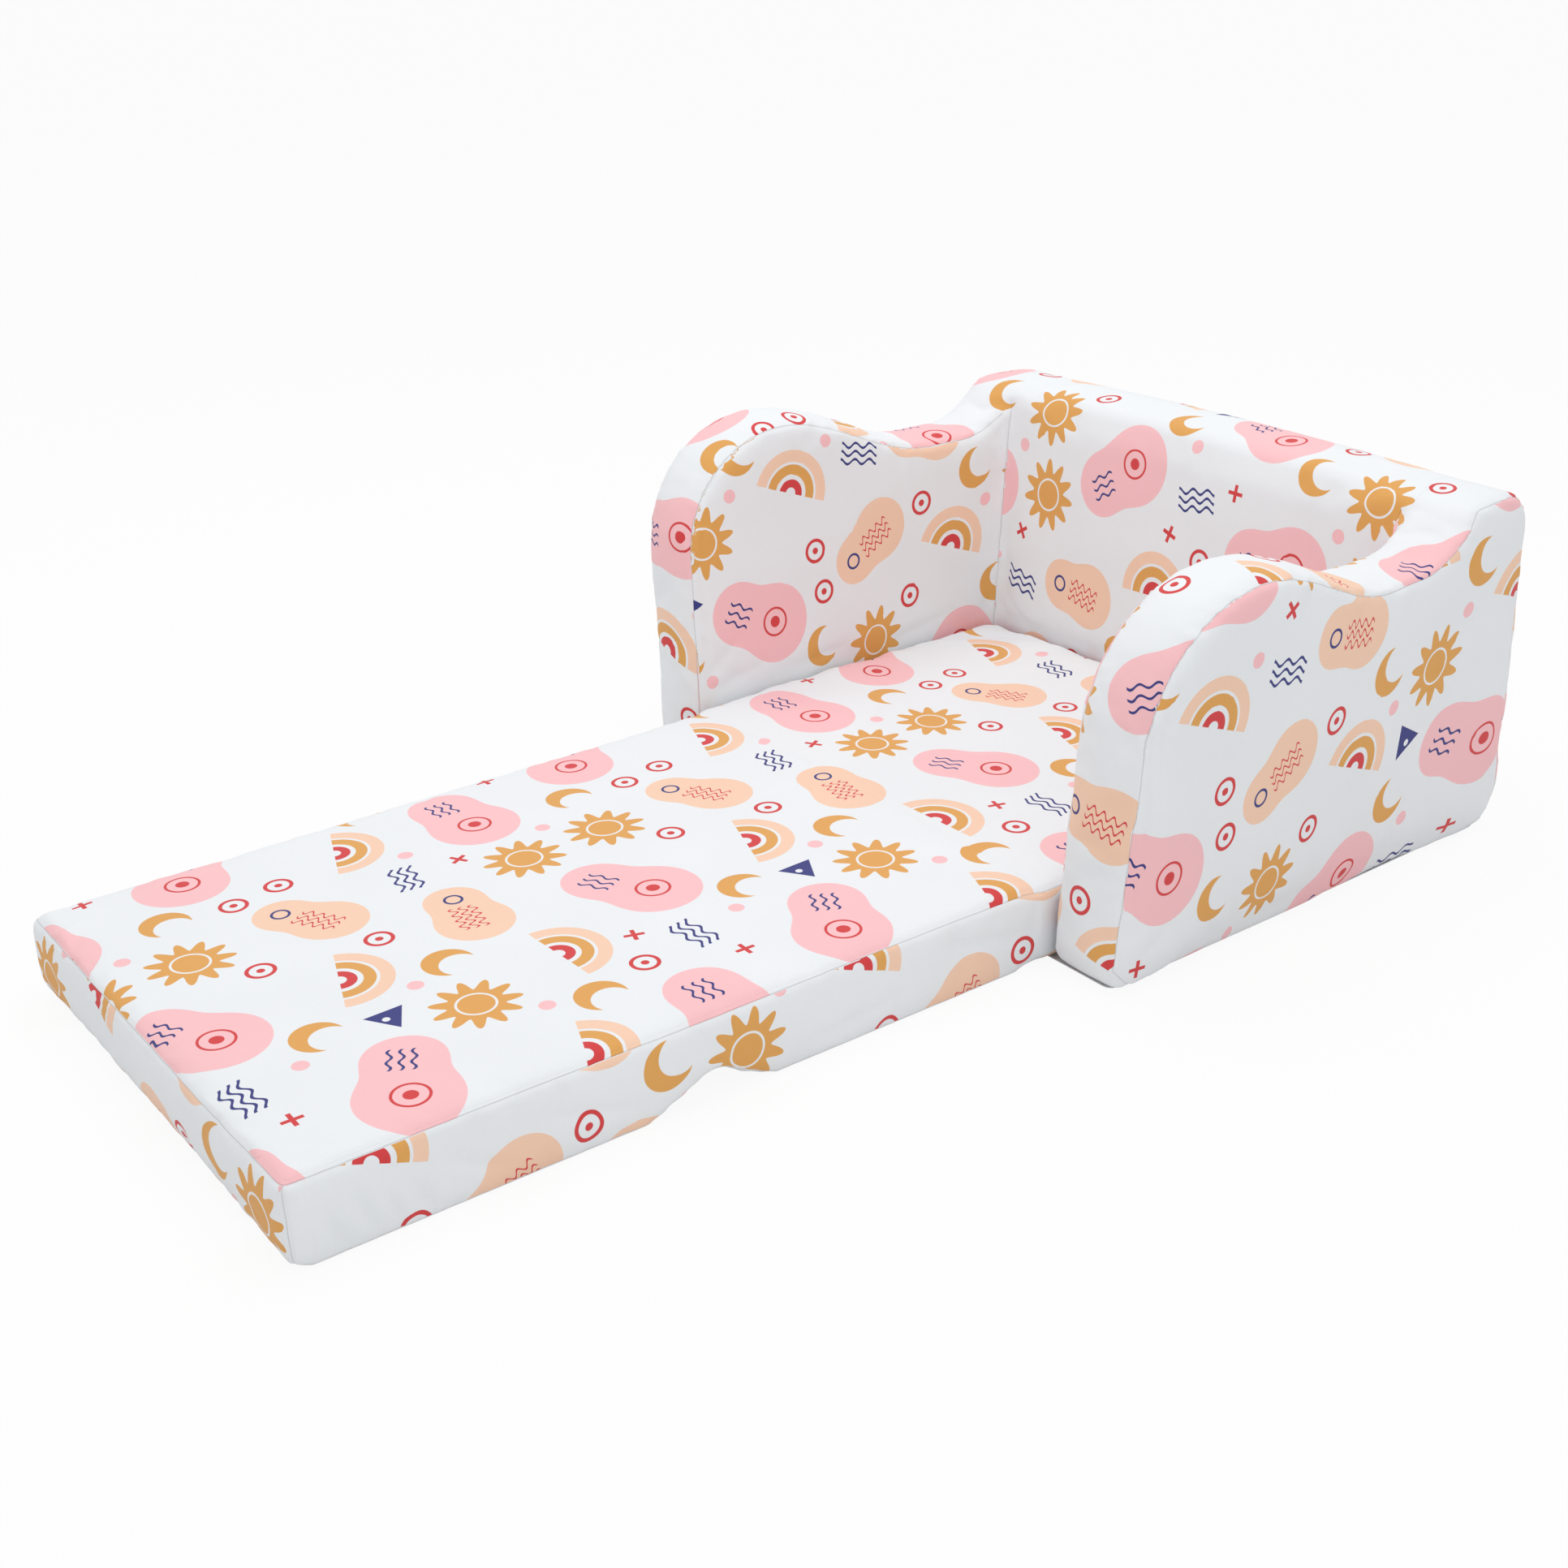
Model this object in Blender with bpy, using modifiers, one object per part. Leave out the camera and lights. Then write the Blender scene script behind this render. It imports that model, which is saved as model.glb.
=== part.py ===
"""A child's sofa made of foam blocks in sewn covers, whose seat folds out to a lounger.

It lies open. X runs across it, the mattress runs out towards -Y, and Z is up.
The origin is on the floor, under the middle of the open length.
"""

import math

import bmesh
import bpy
from mathutils import Vector

# Main sizes, in metres
SOFA_WIDTH = 0.740
SEAT_DEPTH = 0.460
BACK_DEPTH = 0.111
BACK_HEIGHT = 0.365
ARM_WIDTH = 0.091
PAD_THICKNESS = 0.086
MIDDLE_LENGTH = 0.355
END_LENGTH = 0.388

# Cloth and clearances
CLOTH = 0.0015
GAP = 0.0003
SEAM_GAP = 0.0010
PAD_SLACK = 0.0015
FOLD_CLEARANCE = 0.0010

# Side profile of the sofa, from the floor at the front, over the arm, to the back
TOE_RADIUS = 0.026
FRONT_LEAN = 0.009
PEAK_SETBACK = 0.148
SHOULDER_HEIGHT = 0.140
HUMP_HEIGHT = 0.057
DIP_DROP = 0.047
DIP_RUN = 0.046
RISE_RADIUS = 0.075
BROW_RADIUS = 0.020
CREST_RADIUS = 0.045
HEEL_RADIUS = 0.040
REAR_TUCK = 0.004
TUCK_RISE = 0.067

# How the stuffed shape settles: arms splay, the rear narrows, the backrest leans
ARM_SPLAY = 0.036
REAR_TAPER = 0.015
BACK_LEAN = 0.043
BACK_PUFF = 0.006
PUFF_RUN = 0.060

# Softness of the arms and the back
ARM_EDGE = 0.009
ARM_CROWN = 0.003
SIDE_BULGE = 0.004
BACKREST_PUFF = 0.005

# Zip along the foot of the rear cover
ZIP_HEIGHT = 0.056
ZIP_BAND = 0.024
TAPE = 0.0010
CHAIN_WIDTH = 0.0040
CHAIN_DEPTH = 0.0022
CHAIN_PROUD = 0.0012
STOP_WIDTH = 0.0058
STOP_LENGTH = 0.0030
SLIDER_LENGTH = 0.0140
SLIDER_WALL = 0.0010
ZIP_END_SPACE = 0.016

# Mattress pads
PAD_EDGE = 0.008
PAD_CROWN = 0.003
PAD_PULL = 0.002
PAD_NOSE_RADIUS = 0.010
PAD_CHIN_RADIUS = 0.015
PAD_JOINT_RADIUS = 0.003
PAD_REAR_RADIUS = 0.010
MIDDLE_HEEL_RADIUS = 0.022
NOTCH_HEIGHT = 0.028
NOTCH_MIDDLE_RUN = 0.056
NOTCH_END_RUN = 0.062
NOTCH_LIP = 0.003

# Base cloth
BASE_SETBACK = 0.006
BASE_CORNER = 0.010

# Shares by hand: rings of a side panel, columns of a band, and points on straight runs
RING_SHARES = (0.78, 0.5, 0.2)
BAND_COLUMN_SHARES = (-0.6, 0.0, 0.6)
BACK_COLUMN_SHARES = (-0.85, -0.65, -0.4, 0.0, 0.4, 0.65, 0.85)
PAD_COLUMN_SHARES = (-0.8, -0.5, 0.0, 0.5, 0.8)
REST_COLUMN_SHARES = (-1.0, -0.7, -0.35, 0.0, 0.35, 0.7, 1.0)
RUN_SHARES = (0.25, 0.5, 0.75)
HALF_WAY_SHARES = (0.5,)
DOWN_SHARES = (0.5, 1.0)
GROUND_SHARES = (0.25, 0.9)
FACE_SHARES = (0.28, 0.5, 0.75)
SIDE_CENTRE_SHARES = (0.79, 0.42)
PAD_CENTRE_SHARE = 0.5
INNER_TAPER_SHARE = 0.5
EDGE_STEPS = 3

# Worked out from the sizes above
SOFA_DEPTH = SEAT_DEPTH + BACK_DEPTH
PAD_LENGTH = MIDDLE_LENGTH + END_LENGTH
FRONT_Y = (PAD_LENGTH - SOFA_DEPTH) / 2
INNER_WIDTH = SOFA_WIDTH - 2 * ARM_WIDTH
ARM_DIP = BACK_HEIGHT - DIP_DROP
ARM_PEAK = ARM_DIP + HUMP_HEIGHT
ARM_REAR = SEAT_DEPTH + CLOTH
HEEL_START = SOFA_DEPTH - REAR_TUCK - HEEL_RADIUS
SKIN = CLOTH + GAP
FOAM_INSET = CLOTH + 2 * GAP
ZIP_LOW = ZIP_HEIGHT - ZIP_BAND / 2
ZIP_HIGH = ZIP_HEIGHT + ZIP_BAND / 2
TUCK_TOP = ZIP_HIGH + TUCK_RISE

# Finishes: colour, roughness and metallic
PRINT_CLOTH = ((0.91, 0.87, 0.88), 0.85, 0.0)
BASE_CLOTH = ((0.80, 0.79, 0.80), 0.9, 0.0)
FOAM = ((0.93, 0.90, 0.78), 0.95, 0.0)
ZIP_CLOTH = ((0.88, 0.87, 0.88), 0.8, 0.0)
ZIP_PLASTIC = ((0.86, 0.86, 0.88), 0.4, 0.0)
ZIP_METAL = ((0.80, 0.80, 0.82), 0.35, 1.0)


def clear_scene():
    """Removes every object that the scene starts with."""
    for thing in list(bpy.data.objects):
        bpy.data.objects.remove(thing, do_unlink=True)


def new_collection(name):
    """A collection under the scene's own."""
    group = bpy.data.collections.new(name)
    bpy.context.scene.collection.children.link(group)
    return group


def new_material(name, finish):
    """A Principled material in one colour."""
    colour, roughness, metallic = finish
    material = bpy.data.materials.new(name)
    material.use_nodes = True
    shader = material.node_tree.nodes["Principled BSDF"]
    shader.inputs["Base Color"].default_value = (*colour, 1.0)
    shader.inputs["Roughness"].default_value = roughness
    shader.inputs["Metallic"].default_value = metallic
    return material


def place(mesh, name, finish, origin=(0.0, 0.0, 0.0)):
    """Links a mesh as an object whose origin is at the given point of the world."""
    thing = bpy.data.objects.new(name, mesh)
    thing.location = origin
    thing.data.materials.append(new_material(name + "_finish", finish))
    PARTS.objects.link(thing)
    return thing


def arc(centre, radius, start, end, steps):
    """Points on a circle in the Y-Z plane, from start to end in degrees, both included."""
    points = []
    for step in range(steps + 1):
        angle = math.radians(start + (end - start) * step / steps)
        y = centre[0] + radius * math.cos(angle)
        z = centre[1] + radius * math.sin(angle)
        points.append((y, z))
    return points


def between(start, end, shares):
    """Points on the straight line between two points."""
    return [
        (start[0] + (end[0] - start[0]) * share, start[1] + (end[1] - start[1]) * share)
        for share in shares
    ]


def wave(start, end, steps):
    """A cosine slope between two level points, without its ends."""
    points = []
    for step in range(1, steps):
        share = step / steps
        lift = (1 - math.cos(math.pi * share)) / 2
        y = start[0] + (end[0] - start[0]) * share
        z = start[1] + (end[1] - start[1]) * lift
        points.append((y, z))
    return points


def rise_angle():
    """How steep the arm's top is where it meets the back's rounded front edge, in degrees."""
    climb = BACK_HEIGHT - ARM_DIP
    return math.degrees(math.acos(1 - climb / (RISE_RADIUS + BROW_RADIUS)))


def rise_centre():
    """Centre of the hollow curve that leads from the arm's dip up to the back."""
    across = (RISE_RADIUS + BROW_RADIUS) * math.sin(math.radians(rise_angle()))
    return (SEAT_DEPTH + BROW_RADIUS - across, ARM_DIP + RISE_RADIUS)


def arm_top():
    """From the foot of the hollow curve forward over the dip and hump, and down to the toe."""
    foot = (rise_centre()[0], ARM_DIP)
    dip = (foot[0] - DIP_RUN, ARM_DIP)
    peak = (PEAK_SETBACK, ARM_PEAK)
    hump_centre = (PEAK_SETBACK, ARM_PEAK - SHOULDER_HEIGHT)
    points = [foot, dip] + wave(dip, peak, 6) + [peak]
    for step in range(1, 8):
        angle = math.radians(90 + 90 * step / 7)
        y = hump_centre[0] + (PEAK_SETBACK - FRONT_LEAN) * math.cos(angle)
        z = hump_centre[1] + SHOULDER_HEIGHT * math.sin(angle)
        points.append((y, z))
    return points


def toe(sole):
    """The rounded corner at the foot of the arm's front, down to the sole."""
    return arc((TOE_RADIUS, sole + TOE_RADIUS), TOE_RADIUS, 180, 270, 3)


def shin(sole):
    """The arm's front between the hump and the toe."""
    start = (FRONT_LEAN, ARM_PEAK - SHOULDER_HEIGHT)
    end = (0.0, sole + TOE_RADIUS)
    return between(start, end, RUN_SHARES)


def heel(sole):
    """The rounded corner at the foot of the rear."""
    return arc((HEEL_START, sole + HEEL_RADIUS), HEEL_RADIUS, 270, 360, 5)


def rear():
    """The rear face from the zip's upper edge to the top corner, with its tuck at the foot."""
    points = [(SOFA_DEPTH - REAR_TUCK, ZIP_HIGH)]
    for step in range(1, 4):
        share = step / 3
        out = REAR_TUCK * (1 + math.cos(math.pi * share)) / 2
        points.append((SOFA_DEPTH - out, ZIP_HIGH + (TUCK_TOP - ZIP_HIGH) * share))
    end = (SOFA_DEPTH, BACK_HEIGHT - CREST_RADIUS)
    return points + between(points[-1], end, HALF_WAY_SHARES)


def crest():
    """The rounded top corner of the rear, and the flat top up to the front edge."""
    corner = arc((SOFA_DEPTH - CREST_RADIUS, BACK_HEIGHT - CREST_RADIUS), CREST_RADIUS, 0, 90, 5)
    brow_start = (SEAT_DEPTH + BROW_RADIUS, BACK_HEIGHT)
    return corner + between(corner[-1], brow_start, HALF_WAY_SHARES)


def brow(start, end, steps):
    """The rounded front edge of the back's top between two angles: 90 is up, 180 is forward."""
    centre = (SEAT_DEPTH + BROW_RADIUS, BACK_HEIGHT - BROW_RADIUS)
    return arc(centre, BROW_RADIUS, start, end, steps)


def rise(end_y):
    """The hollow curve at the rear of the arm's top, from end_y down to the dip, without its foot."""
    centre = rise_centre()
    steepest = math.degrees(math.acos((end_y - centre[0]) / RISE_RADIUS))
    return arc(centre, RISE_RADIUS, -steepest, -90, 6)[:-1]


def side_outline(sole):
    """Outline of the sofa seen from the side, once round, the front on the low side of Y."""
    steep = rise_angle()
    tangent_y = SEAT_DEPTH + BROW_RADIUS * (1 - math.sin(math.radians(steep)))
    front = toe(sole)
    back = heel(sole)
    ground = between(front[-1], back[0], RUN_SHARES)
    hem = [(SOFA_DEPTH - REAR_TUCK, ZIP_LOW)]
    points = front + ground + back + hem + rear() + crest() + brow(90, 90 + steep, 3)
    return points + rise(tangent_y)[1:] + arm_top() + shin(sole)


def arm_outline(sole):
    """Outline of one arm seen from the side, cut off where it meets the back."""
    front = toe(sole)
    corner = (ARM_REAR, sole)
    ground = between(front[-1], corner, RUN_SHARES)
    slope = rise(ARM_REAR)
    stern = between(corner, slope[0], RUN_SHARES)
    return front + ground + [corner] + stern + slope + arm_top() + shin(sole)


def back_outline(sole, face_y):
    """Outline of the back seen from the side."""
    rounded = heel(sole)
    hem = [(SOFA_DEPTH - REAR_TUCK, ZIP_LOW)]
    front_edge = brow(90, 180, 5)
    front_edge[-1] = (face_y, front_edge[-1][1])
    corner = (face_y, sole)
    face = between(front_edge[-1], corner, RUN_SHARES)
    ground = between(corner, rounded[0], GROUND_SHARES)
    return rounded + hem + rear() + crest() + front_edge + face + [corner] + ground


def drop_doubles(points):
    """The outline without points that repeat the one before."""
    kept = []
    for point in points:
        if not kept or math.dist(point, kept[-1]) > GAP:
            kept.append(point)
    if math.dist(kept[0], kept[-1]) <= GAP:
        kept.pop()
    return kept


def turn(points):
    """1 for an outline that runs anticlockwise with Y to the right and Z up, or else -1."""
    area = 0.0
    for index, point in enumerate(points):
        before = points[index - 1]
        area += before[0] * point[1] - point[0] * before[1]
    return math.copysign(1, area)


def offset(points, distance, lift=0.0):
    """A closed outline moved inwards by a distance, its corners kept sharp, its foot by more."""
    way = turn(points)
    moved = []
    for index, point in enumerate(points):
        before = Vector(point) - Vector(points[index - 1])
        after = Vector(points[(index + 1) % len(points)]) - Vector(point)
        first = Vector((-before.y, before.x)).normalized() * way
        second = Vector((-after.y, after.x)).normalized() * way
        middle = (first + second).normalized()
        shift = middle * ((distance + lift * max(middle.y, 0.0)) / middle.dot(first))
        moved.append((point[0] + shift.x, point[1] + shift.y))
    return moved


def foam_outline(points):
    """The outline inside the cloth, resting on the base cloth where the sole runs flat."""
    inner = offset(points, FOAM_INSET)
    floor = min(z for _, z in points)
    flat = [z - floor < GAP for _, z in points]
    for index, (y, _) in enumerate(inner):
        if flat[index - 1] and flat[index] and flat[(index + 1) % len(flat)]:
            inner[index] = (y, SKIN)
    return inner


def squeeze(value, low, high, low_by, high_by):
    """Maps the span low..high on to one that is shorter at each end."""
    share = (value - low) / (high - low)
    return low + low_by + share * (high - low - low_by - high_by)


def sofa_shape(point, inset, crown):
    """A point of the sofa's profile, drawn in at an edge, with the sole and the arm's rear fixed."""
    y, z = point
    drop = inset + crown
    z = squeeze(z, 0.0, BACK_HEIGHT, 0.0, drop)
    if y < ARM_REAR:
        y = squeeze(y, 0.0, ARM_REAR, drop, 0.0)
    else:
        y = squeeze(y, ARM_REAR, SOFA_DEPTH, 0.0, inset)
    return (y, z)


def pad_shape(free_end):
    """A shaper for a pad's profile: its top, and its front end where that is free, are drawn in."""
    waist = NOTCH_HEIGHT + 2 * SKIN
    anchor = -MIDDLE_LENGTH - NOTCH_END_RUN - 2 * SKIN

    def shape(point, inset, crown):
        y, z = point
        if z > waist:
            z = squeeze(z, waist, PAD_THICKNESS, 0.0, inset + crown)
        if free_end and y < anchor:
            y = squeeze(y, -PAD_LENGTH, anchor, inset, 0.0)
        return (y, z)

    return shape


def ring(points, shape, x, inset, crown):
    """The outline at one place across the piece."""
    shaped = [shape(point, inset, crown) for point in points]
    return [(x, y + FRONT_Y, z) for y, z in shaped]


def edge_rings(points, shape, half, radius, crown, side):
    """Rings over the rounded edge of one side, from the flat of the wall to the side's plane."""
    rings = []
    for step in range(EDGE_STEPS + 1):
        angle = math.radians(90 * step / EDGE_STEPS)
        x = side * (half - radius * (1 - math.sin(angle)))
        rings.append(ring(points, shape, x, radius * (1 - math.cos(angle)), crown))
    return rings


def wall_rings(points, shape, half, radius, crown, shares):
    """Rings across a wall between its two rounded edges, from the low side of X to the high."""
    left = edge_rings(points, shape, half, radius, crown, -1)
    right = edge_rings(points, shape, half, radius, crown, 1)
    middle = []
    for share in shares:
        x = share * (half - radius)
        middle.append(ring(points, shape, x, 0.0, crown * share * share))
    return left[::-1] + middle + right


def cap_rings(points, shape, half, radius, crown, bulge, side, centre):
    """Rings of a side panel, from its edge in to its middle, and the middle point."""
    shaped = [shape(point, radius, crown) for point in points]
    edge = [(y + FRONT_Y, z) for y, z in offset(shaped, SEAM_GAP, CLOTH)]
    rings = []
    for share in (1.0, *RING_SHARES):
        x = side * (half + bulge * (1 - share * share))
        rings.append(
            [
                (x, centre[0] + (y - centre[0]) * share, centre[1] + (z - centre[1]) * share)
                for y, z in edge
            ]
        )
    return rings, (side * (half + bulge), centre[0], centre[1])


def side_centre():
    """The point that the rings of a side panel close in on, in full view of the whole outline."""
    y = FRONT_Y + SEAT_DEPTH * SIDE_CENTRE_SHARES[0]
    return (y, BACK_HEIGHT * SIDE_CENTRE_SHARES[1])


def add_rings(shape_mesh, rings):
    """Vertices of a list of rings."""
    return [[shape_mesh.verts.new(point) for point in points] for points in rings]


def bridge(shape_mesh, rings, closed):
    """Faces between neighbouring rings."""
    count = len(rings[0])
    last = count if closed else count - 1
    for first, second in zip(rings, rings[1:]):
        for index in range(last):
            after = (index + 1) % count
            shape_mesh.faces.new((first[index], first[after], second[after], second[index]))


def fan(shape_mesh, ring_verts, point):
    """Triangles from a ring to one point."""
    middle = shape_mesh.verts.new(point)
    for index, vert in enumerate(ring_verts):
        shape_mesh.faces.new((vert, ring_verts[(index + 1) % len(ring_verts)], middle))


def to_mesh(shape_mesh, name, bend=None):
    """Finishes a mesh: every face turns outwards, and its points may be bent to their place."""
    bmesh.ops.recalc_face_normals(shape_mesh, faces=shape_mesh.faces)
    if bend:
        bend_points(shape_mesh, bend)
    mesh = bpy.data.meshes.new(name)
    shape_mesh.to_mesh(mesh)
    shape_mesh.free()
    mesh.shade_smooth()
    mesh.set_sharp_from_angle(angle=math.radians(40))
    return mesh


def bend_points(shape_mesh, bend):
    """Moves every point of a mesh by a rule."""
    for vert in shape_mesh.verts:
        vert.co = bend(vert.co)


def waist(start, end):
    """A rule that pulls a pad's long sides in between its corners, most half way along."""

    def bend(point):
        along = min(max((point.y - FRONT_Y - start) / (end - start), 0.0), 1.0)
        narrow = PAD_PULL * math.sin(math.pi * along) / (INNER_WIDTH / 2)
        return Vector((point.x * (1 - narrow), point.y, point.z))

    return bend


def ease(share):
    """A smooth step from 0 to 1."""
    share = min(max(share, 0.0), 1.0)
    return share * share * (3 - 2 * share)


def taper_share(x):
    """How much of the rear's narrowing reaches a place across the sofa, signed like x."""
    inner = INNER_WIDTH / 2
    if abs(x) < inner:
        return INNER_TAPER_SHARE * x / inner
    outer = (abs(x) - inner) / ARM_WIDTH
    return math.copysign(INNER_TAPER_SHARE + (1 - INNER_TAPER_SHARE) * outer, x)


def settle(point):
    """The rule for the sofa's own pieces: arms splay, the rear narrows, the backrest leans."""
    y = max(point.y - FRONT_Y, 0.0)
    half = SOFA_WIDTH / 2
    height = point.z / BACK_HEIGHT
    splay = ARM_SPLAY * height * (1 - (y / SOFA_DEPTH) ** 2) * point.x / half
    narrow = REAR_TAPER * y / SOFA_DEPTH * taper_share(point.x)
    lean = ease(y / SEAT_DEPTH)
    if y > SEAT_DEPTH:
        lean = max((HEEL_START - y) / (HEEL_START - SEAT_DEPTH), 0.0)
    puff = ease((y - SEAT_DEPTH + PUFF_RUN) / PUFF_RUN) * (1 - (point.x / half) ** 2)
    puff *= ease((point.z - ZIP_HIGH) / (BACK_HEIGHT - ZIP_HIGH))
    return Vector(
        (
            point.x + splay - narrow,
            point.y - BACK_LEAN * (1 - height) * lean,
            point.z + BACK_PUFF * puff,
        )
    )


def shift_mesh(mesh, origin):
    """Moves a mesh so that it stays put when its object takes the origin given."""
    for vert in mesh.vertices:
        vert.co -= Vector(origin)


def cloth(thing):
    """Gives an open surface its thickness, inwards."""
    wall = thing.modifiers.new("cloth", "SOLIDIFY")
    wall.thickness = CLOTH
    wall.offset = -1
    wall.use_even_offset = True
    return thing


def face_out(shape_mesh, outward):
    """Turns an open surface so that its faces look along a direction, on the whole."""
    total = Vector((0.0, 0.0, 0.0))
    for face in shape_mesh.faces:
        face.normal_update()
        total += face.normal * face.calc_area()
    if total.dot(Vector(outward)) < 0:
        bmesh.ops.reverse_faces(shape_mesh, faces=shape_mesh.faces)


def panel(name, shape_mesh, outward, finish, origin, bend):
    """Finishes an open surface as a cloth panel that looks outward."""
    face_out(shape_mesh, outward)
    bend_points(shape_mesh, bend)
    mesh = bpy.data.meshes.new(name)
    shape_mesh.to_mesh(mesh)
    shape_mesh.free()
    mesh.shade_smooth()
    shift_mesh(mesh, origin)
    return cloth(place(mesh, name, finish, origin))


def wall_panel(name, rings, outward, finish, origin=(0.0, 0.0, 0.0), bend=settle):
    """A cloth panel over part of a wall."""
    shape_mesh = bmesh.new()
    bridge(shape_mesh, add_rings(shape_mesh, rings), False)
    return panel(name, shape_mesh, outward, finish, origin, bend)


def cap_panel(name, rings_and_middle, side, finish, origin=(0.0, 0.0, 0.0), bend=settle):
    """A cloth panel over one side."""
    rings, middle = rings_and_middle
    shape_mesh = bmesh.new()
    ring_verts = add_rings(shape_mesh, rings)
    bridge(shape_mesh, ring_verts, True)
    fan(shape_mesh, ring_verts[-1], middle)
    return panel(name, shape_mesh, (side, 0.0, 0.0), finish, origin, bend)


def close_in(edge, centre, shares):
    """Copies of a ring that close in on a centre by shares, within the ring's own plane."""
    return [
        [
            (x, centre[0] + (y - centre[0]) * share, centre[1] + (z - centre[1]) * share)
            for x, y, z in edge
        ]
        for share in shares
    ]


def foam_block(name, rings, centre, origin=(0.0, 0.0, 0.0), bend=settle):
    """A closed foam block from rings across it, each end closed in rings round a centre."""
    shape_mesh = bmesh.new()
    left = close_in(rings[0], centre, RING_SHARES)
    right = close_in(rings[-1], centre, RING_SHARES)
    ring_verts = add_rings(shape_mesh, left[::-1] + rings + right)
    bridge(shape_mesh, ring_verts, True)
    fan(shape_mesh, ring_verts[0], (rings[0][0][0], *centre))
    fan(shape_mesh, ring_verts[-1], (rings[-1][0][0], *centre))
    mesh = to_mesh(shape_mesh, name, bend)
    shift_mesh(mesh, origin)
    return place(mesh, name, FOAM, origin)


def shift_rings(rings, x):
    """Rings moved across the sofa."""
    return [[(point[0] + x, point[1], point[2]) for point in points] for points in rings]


def box(name, low, high, finish, origin=(0.0, 0.0, 0.0)):
    """A plain block between two corners."""
    mesh = bpy.data.meshes.new(name)
    shape_mesh = bmesh.new()
    bmesh.ops.create_cube(shape_mesh, size=1.0)
    for vert in shape_mesh.verts:
        for axis in range(3):
            middle = (low[axis] + high[axis]) / 2
            vert.co[axis] = middle + vert.co[axis] * (high[axis] - low[axis]) - origin[axis]
    shape_mesh.to_mesh(mesh)
    shape_mesh.free()
    return place(mesh, name, finish, origin)


def make_arm(side, label):
    """One arm: its foam, the band over its front and top, and its inner panel."""
    half = ARM_WIDTH / 2
    middle = side * (INNER_WIDTH / 2 + half)
    outer_half = half - SIDE_BULGE / 2
    shift = middle - side * SIDE_BULGE / 2
    foam_points = foam_outline(drop_doubles(arm_outline(SKIN)))
    rings = wall_rings(
        foam_points,
        sofa_shape,
        outer_half - FOAM_INSET,
        ARM_EDGE - FOAM_INSET,
        ARM_CROWN,
        BAND_COLUMN_SHARES,
    )
    foam_block(label + "_arm_foam", shift_rings(rings, shift), side_centre())

    over = rise(SEAT_DEPTH) + arm_top() + shin(SKIN) + toe(SKIN)
    band = wall_rings(
        drop_doubles(over), sofa_shape, outer_half, ARM_EDGE, ARM_CROWN, BAND_COLUMN_SHARES
    )
    wall_panel(label + "_arm_band", shift_rings(band, shift), (0.0, -1.0, 1.0), PRINT_CLOTH)

    rings, point = cap_rings(
        drop_doubles(arm_outline(SKIN)),
        sofa_shape,
        0.0,
        ARM_EDGE,
        ARM_CROWN,
        0.0,
        1,
        side_centre(),
    )
    x = side * INNER_WIDTH / 2
    inner = (shift_rings(rings, x), (point[0] + x, point[1], point[2]))
    cap_panel(label + "_inner_panel", inner, -side, PRINT_CLOTH)


def make_outer_panel(side, label):
    """The wavy panel that covers the arm's outer side and the end of the back."""
    half = SOFA_WIDTH / 2 - SIDE_BULGE
    rings = cap_rings(
        drop_doubles(side_outline(SKIN)),
        sofa_shape,
        half,
        ARM_EDGE,
        ARM_CROWN,
        SIDE_BULGE,
        side,
        side_centre(),
    )
    cap_panel(label + "_outer_panel", rings, side, PRINT_CLOTH)


def make_back():
    """The back: its foam, the backrest panel, and the cover over its top and rear."""
    half = SOFA_WIDTH / 2 - SIDE_BULGE
    foam_points = foam_outline(drop_doubles(back_outline(SKIN, SEAT_DEPTH)))
    rings = wall_rings(
        foam_points,
        sofa_shape,
        half - FOAM_INSET,
        ARM_EDGE - FOAM_INSET,
        ARM_CROWN,
        BACK_COLUMN_SHARES,
    )
    middle = (FRONT_Y + SEAT_DEPTH + BACK_DEPTH / 2, BACK_HEIGHT / 2)
    foam_block("back_foam", rings, middle)

    steep = rise_angle()
    over = rear() + crest() + brow(90, 90 + steep, 3)
    cover = wall_rings(
        drop_doubles(over), sofa_shape, half, ARM_EDGE, ARM_CROWN, BACK_COLUMN_SHARES
    )
    wall_panel("back_cover_panel", cover, (0.0, 1.0, 1.0), PRINT_CLOTH)

    low = heel(SKIN) + [(SOFA_DEPTH - REAR_TUCK, ZIP_LOW)]
    hem = wall_rings(drop_doubles(low), sofa_shape, half, ARM_EDGE, ARM_CROWN, BACK_COLUMN_SHARES)
    wall_panel("back_hem_panel", hem, (0.0, 1.0, -1.0), PRINT_CLOTH)
    make_backrest_panel(steep)


def make_backrest_panel(steep):
    """The panel that faces the seat, puffed out above the mattress."""
    half = INNER_WIDTH / 2 - GAP
    crease = (SEAT_DEPTH, BACK_HEIGHT - BROW_RADIUS)
    low = [(SEAT_DEPTH, SKIN), (SEAT_DEPTH, PAD_THICKNESS)]
    face = between(low[-1], crease, FACE_SHARES)
    seam = math.degrees(SEAM_GAP / BROW_RADIUS) * 2
    edge = brow(180, 90 + steep + seam, 3)[1:]
    rings = []
    crown_reach = SOFA_WIDTH / 2 - SIDE_BULGE - ARM_EDGE
    for share in REST_COLUMN_SHARES:
        x = share * half
        points = ring(low + face + edge, sofa_shape, x, 0.0, ARM_CROWN * (x / crown_reach) ** 2)
        rings.append([puffed(point, share) for point in points])
    wall_panel("backrest_panel", rings, (0.0, -1.0, 0.0), PRINT_CLOTH)


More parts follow.
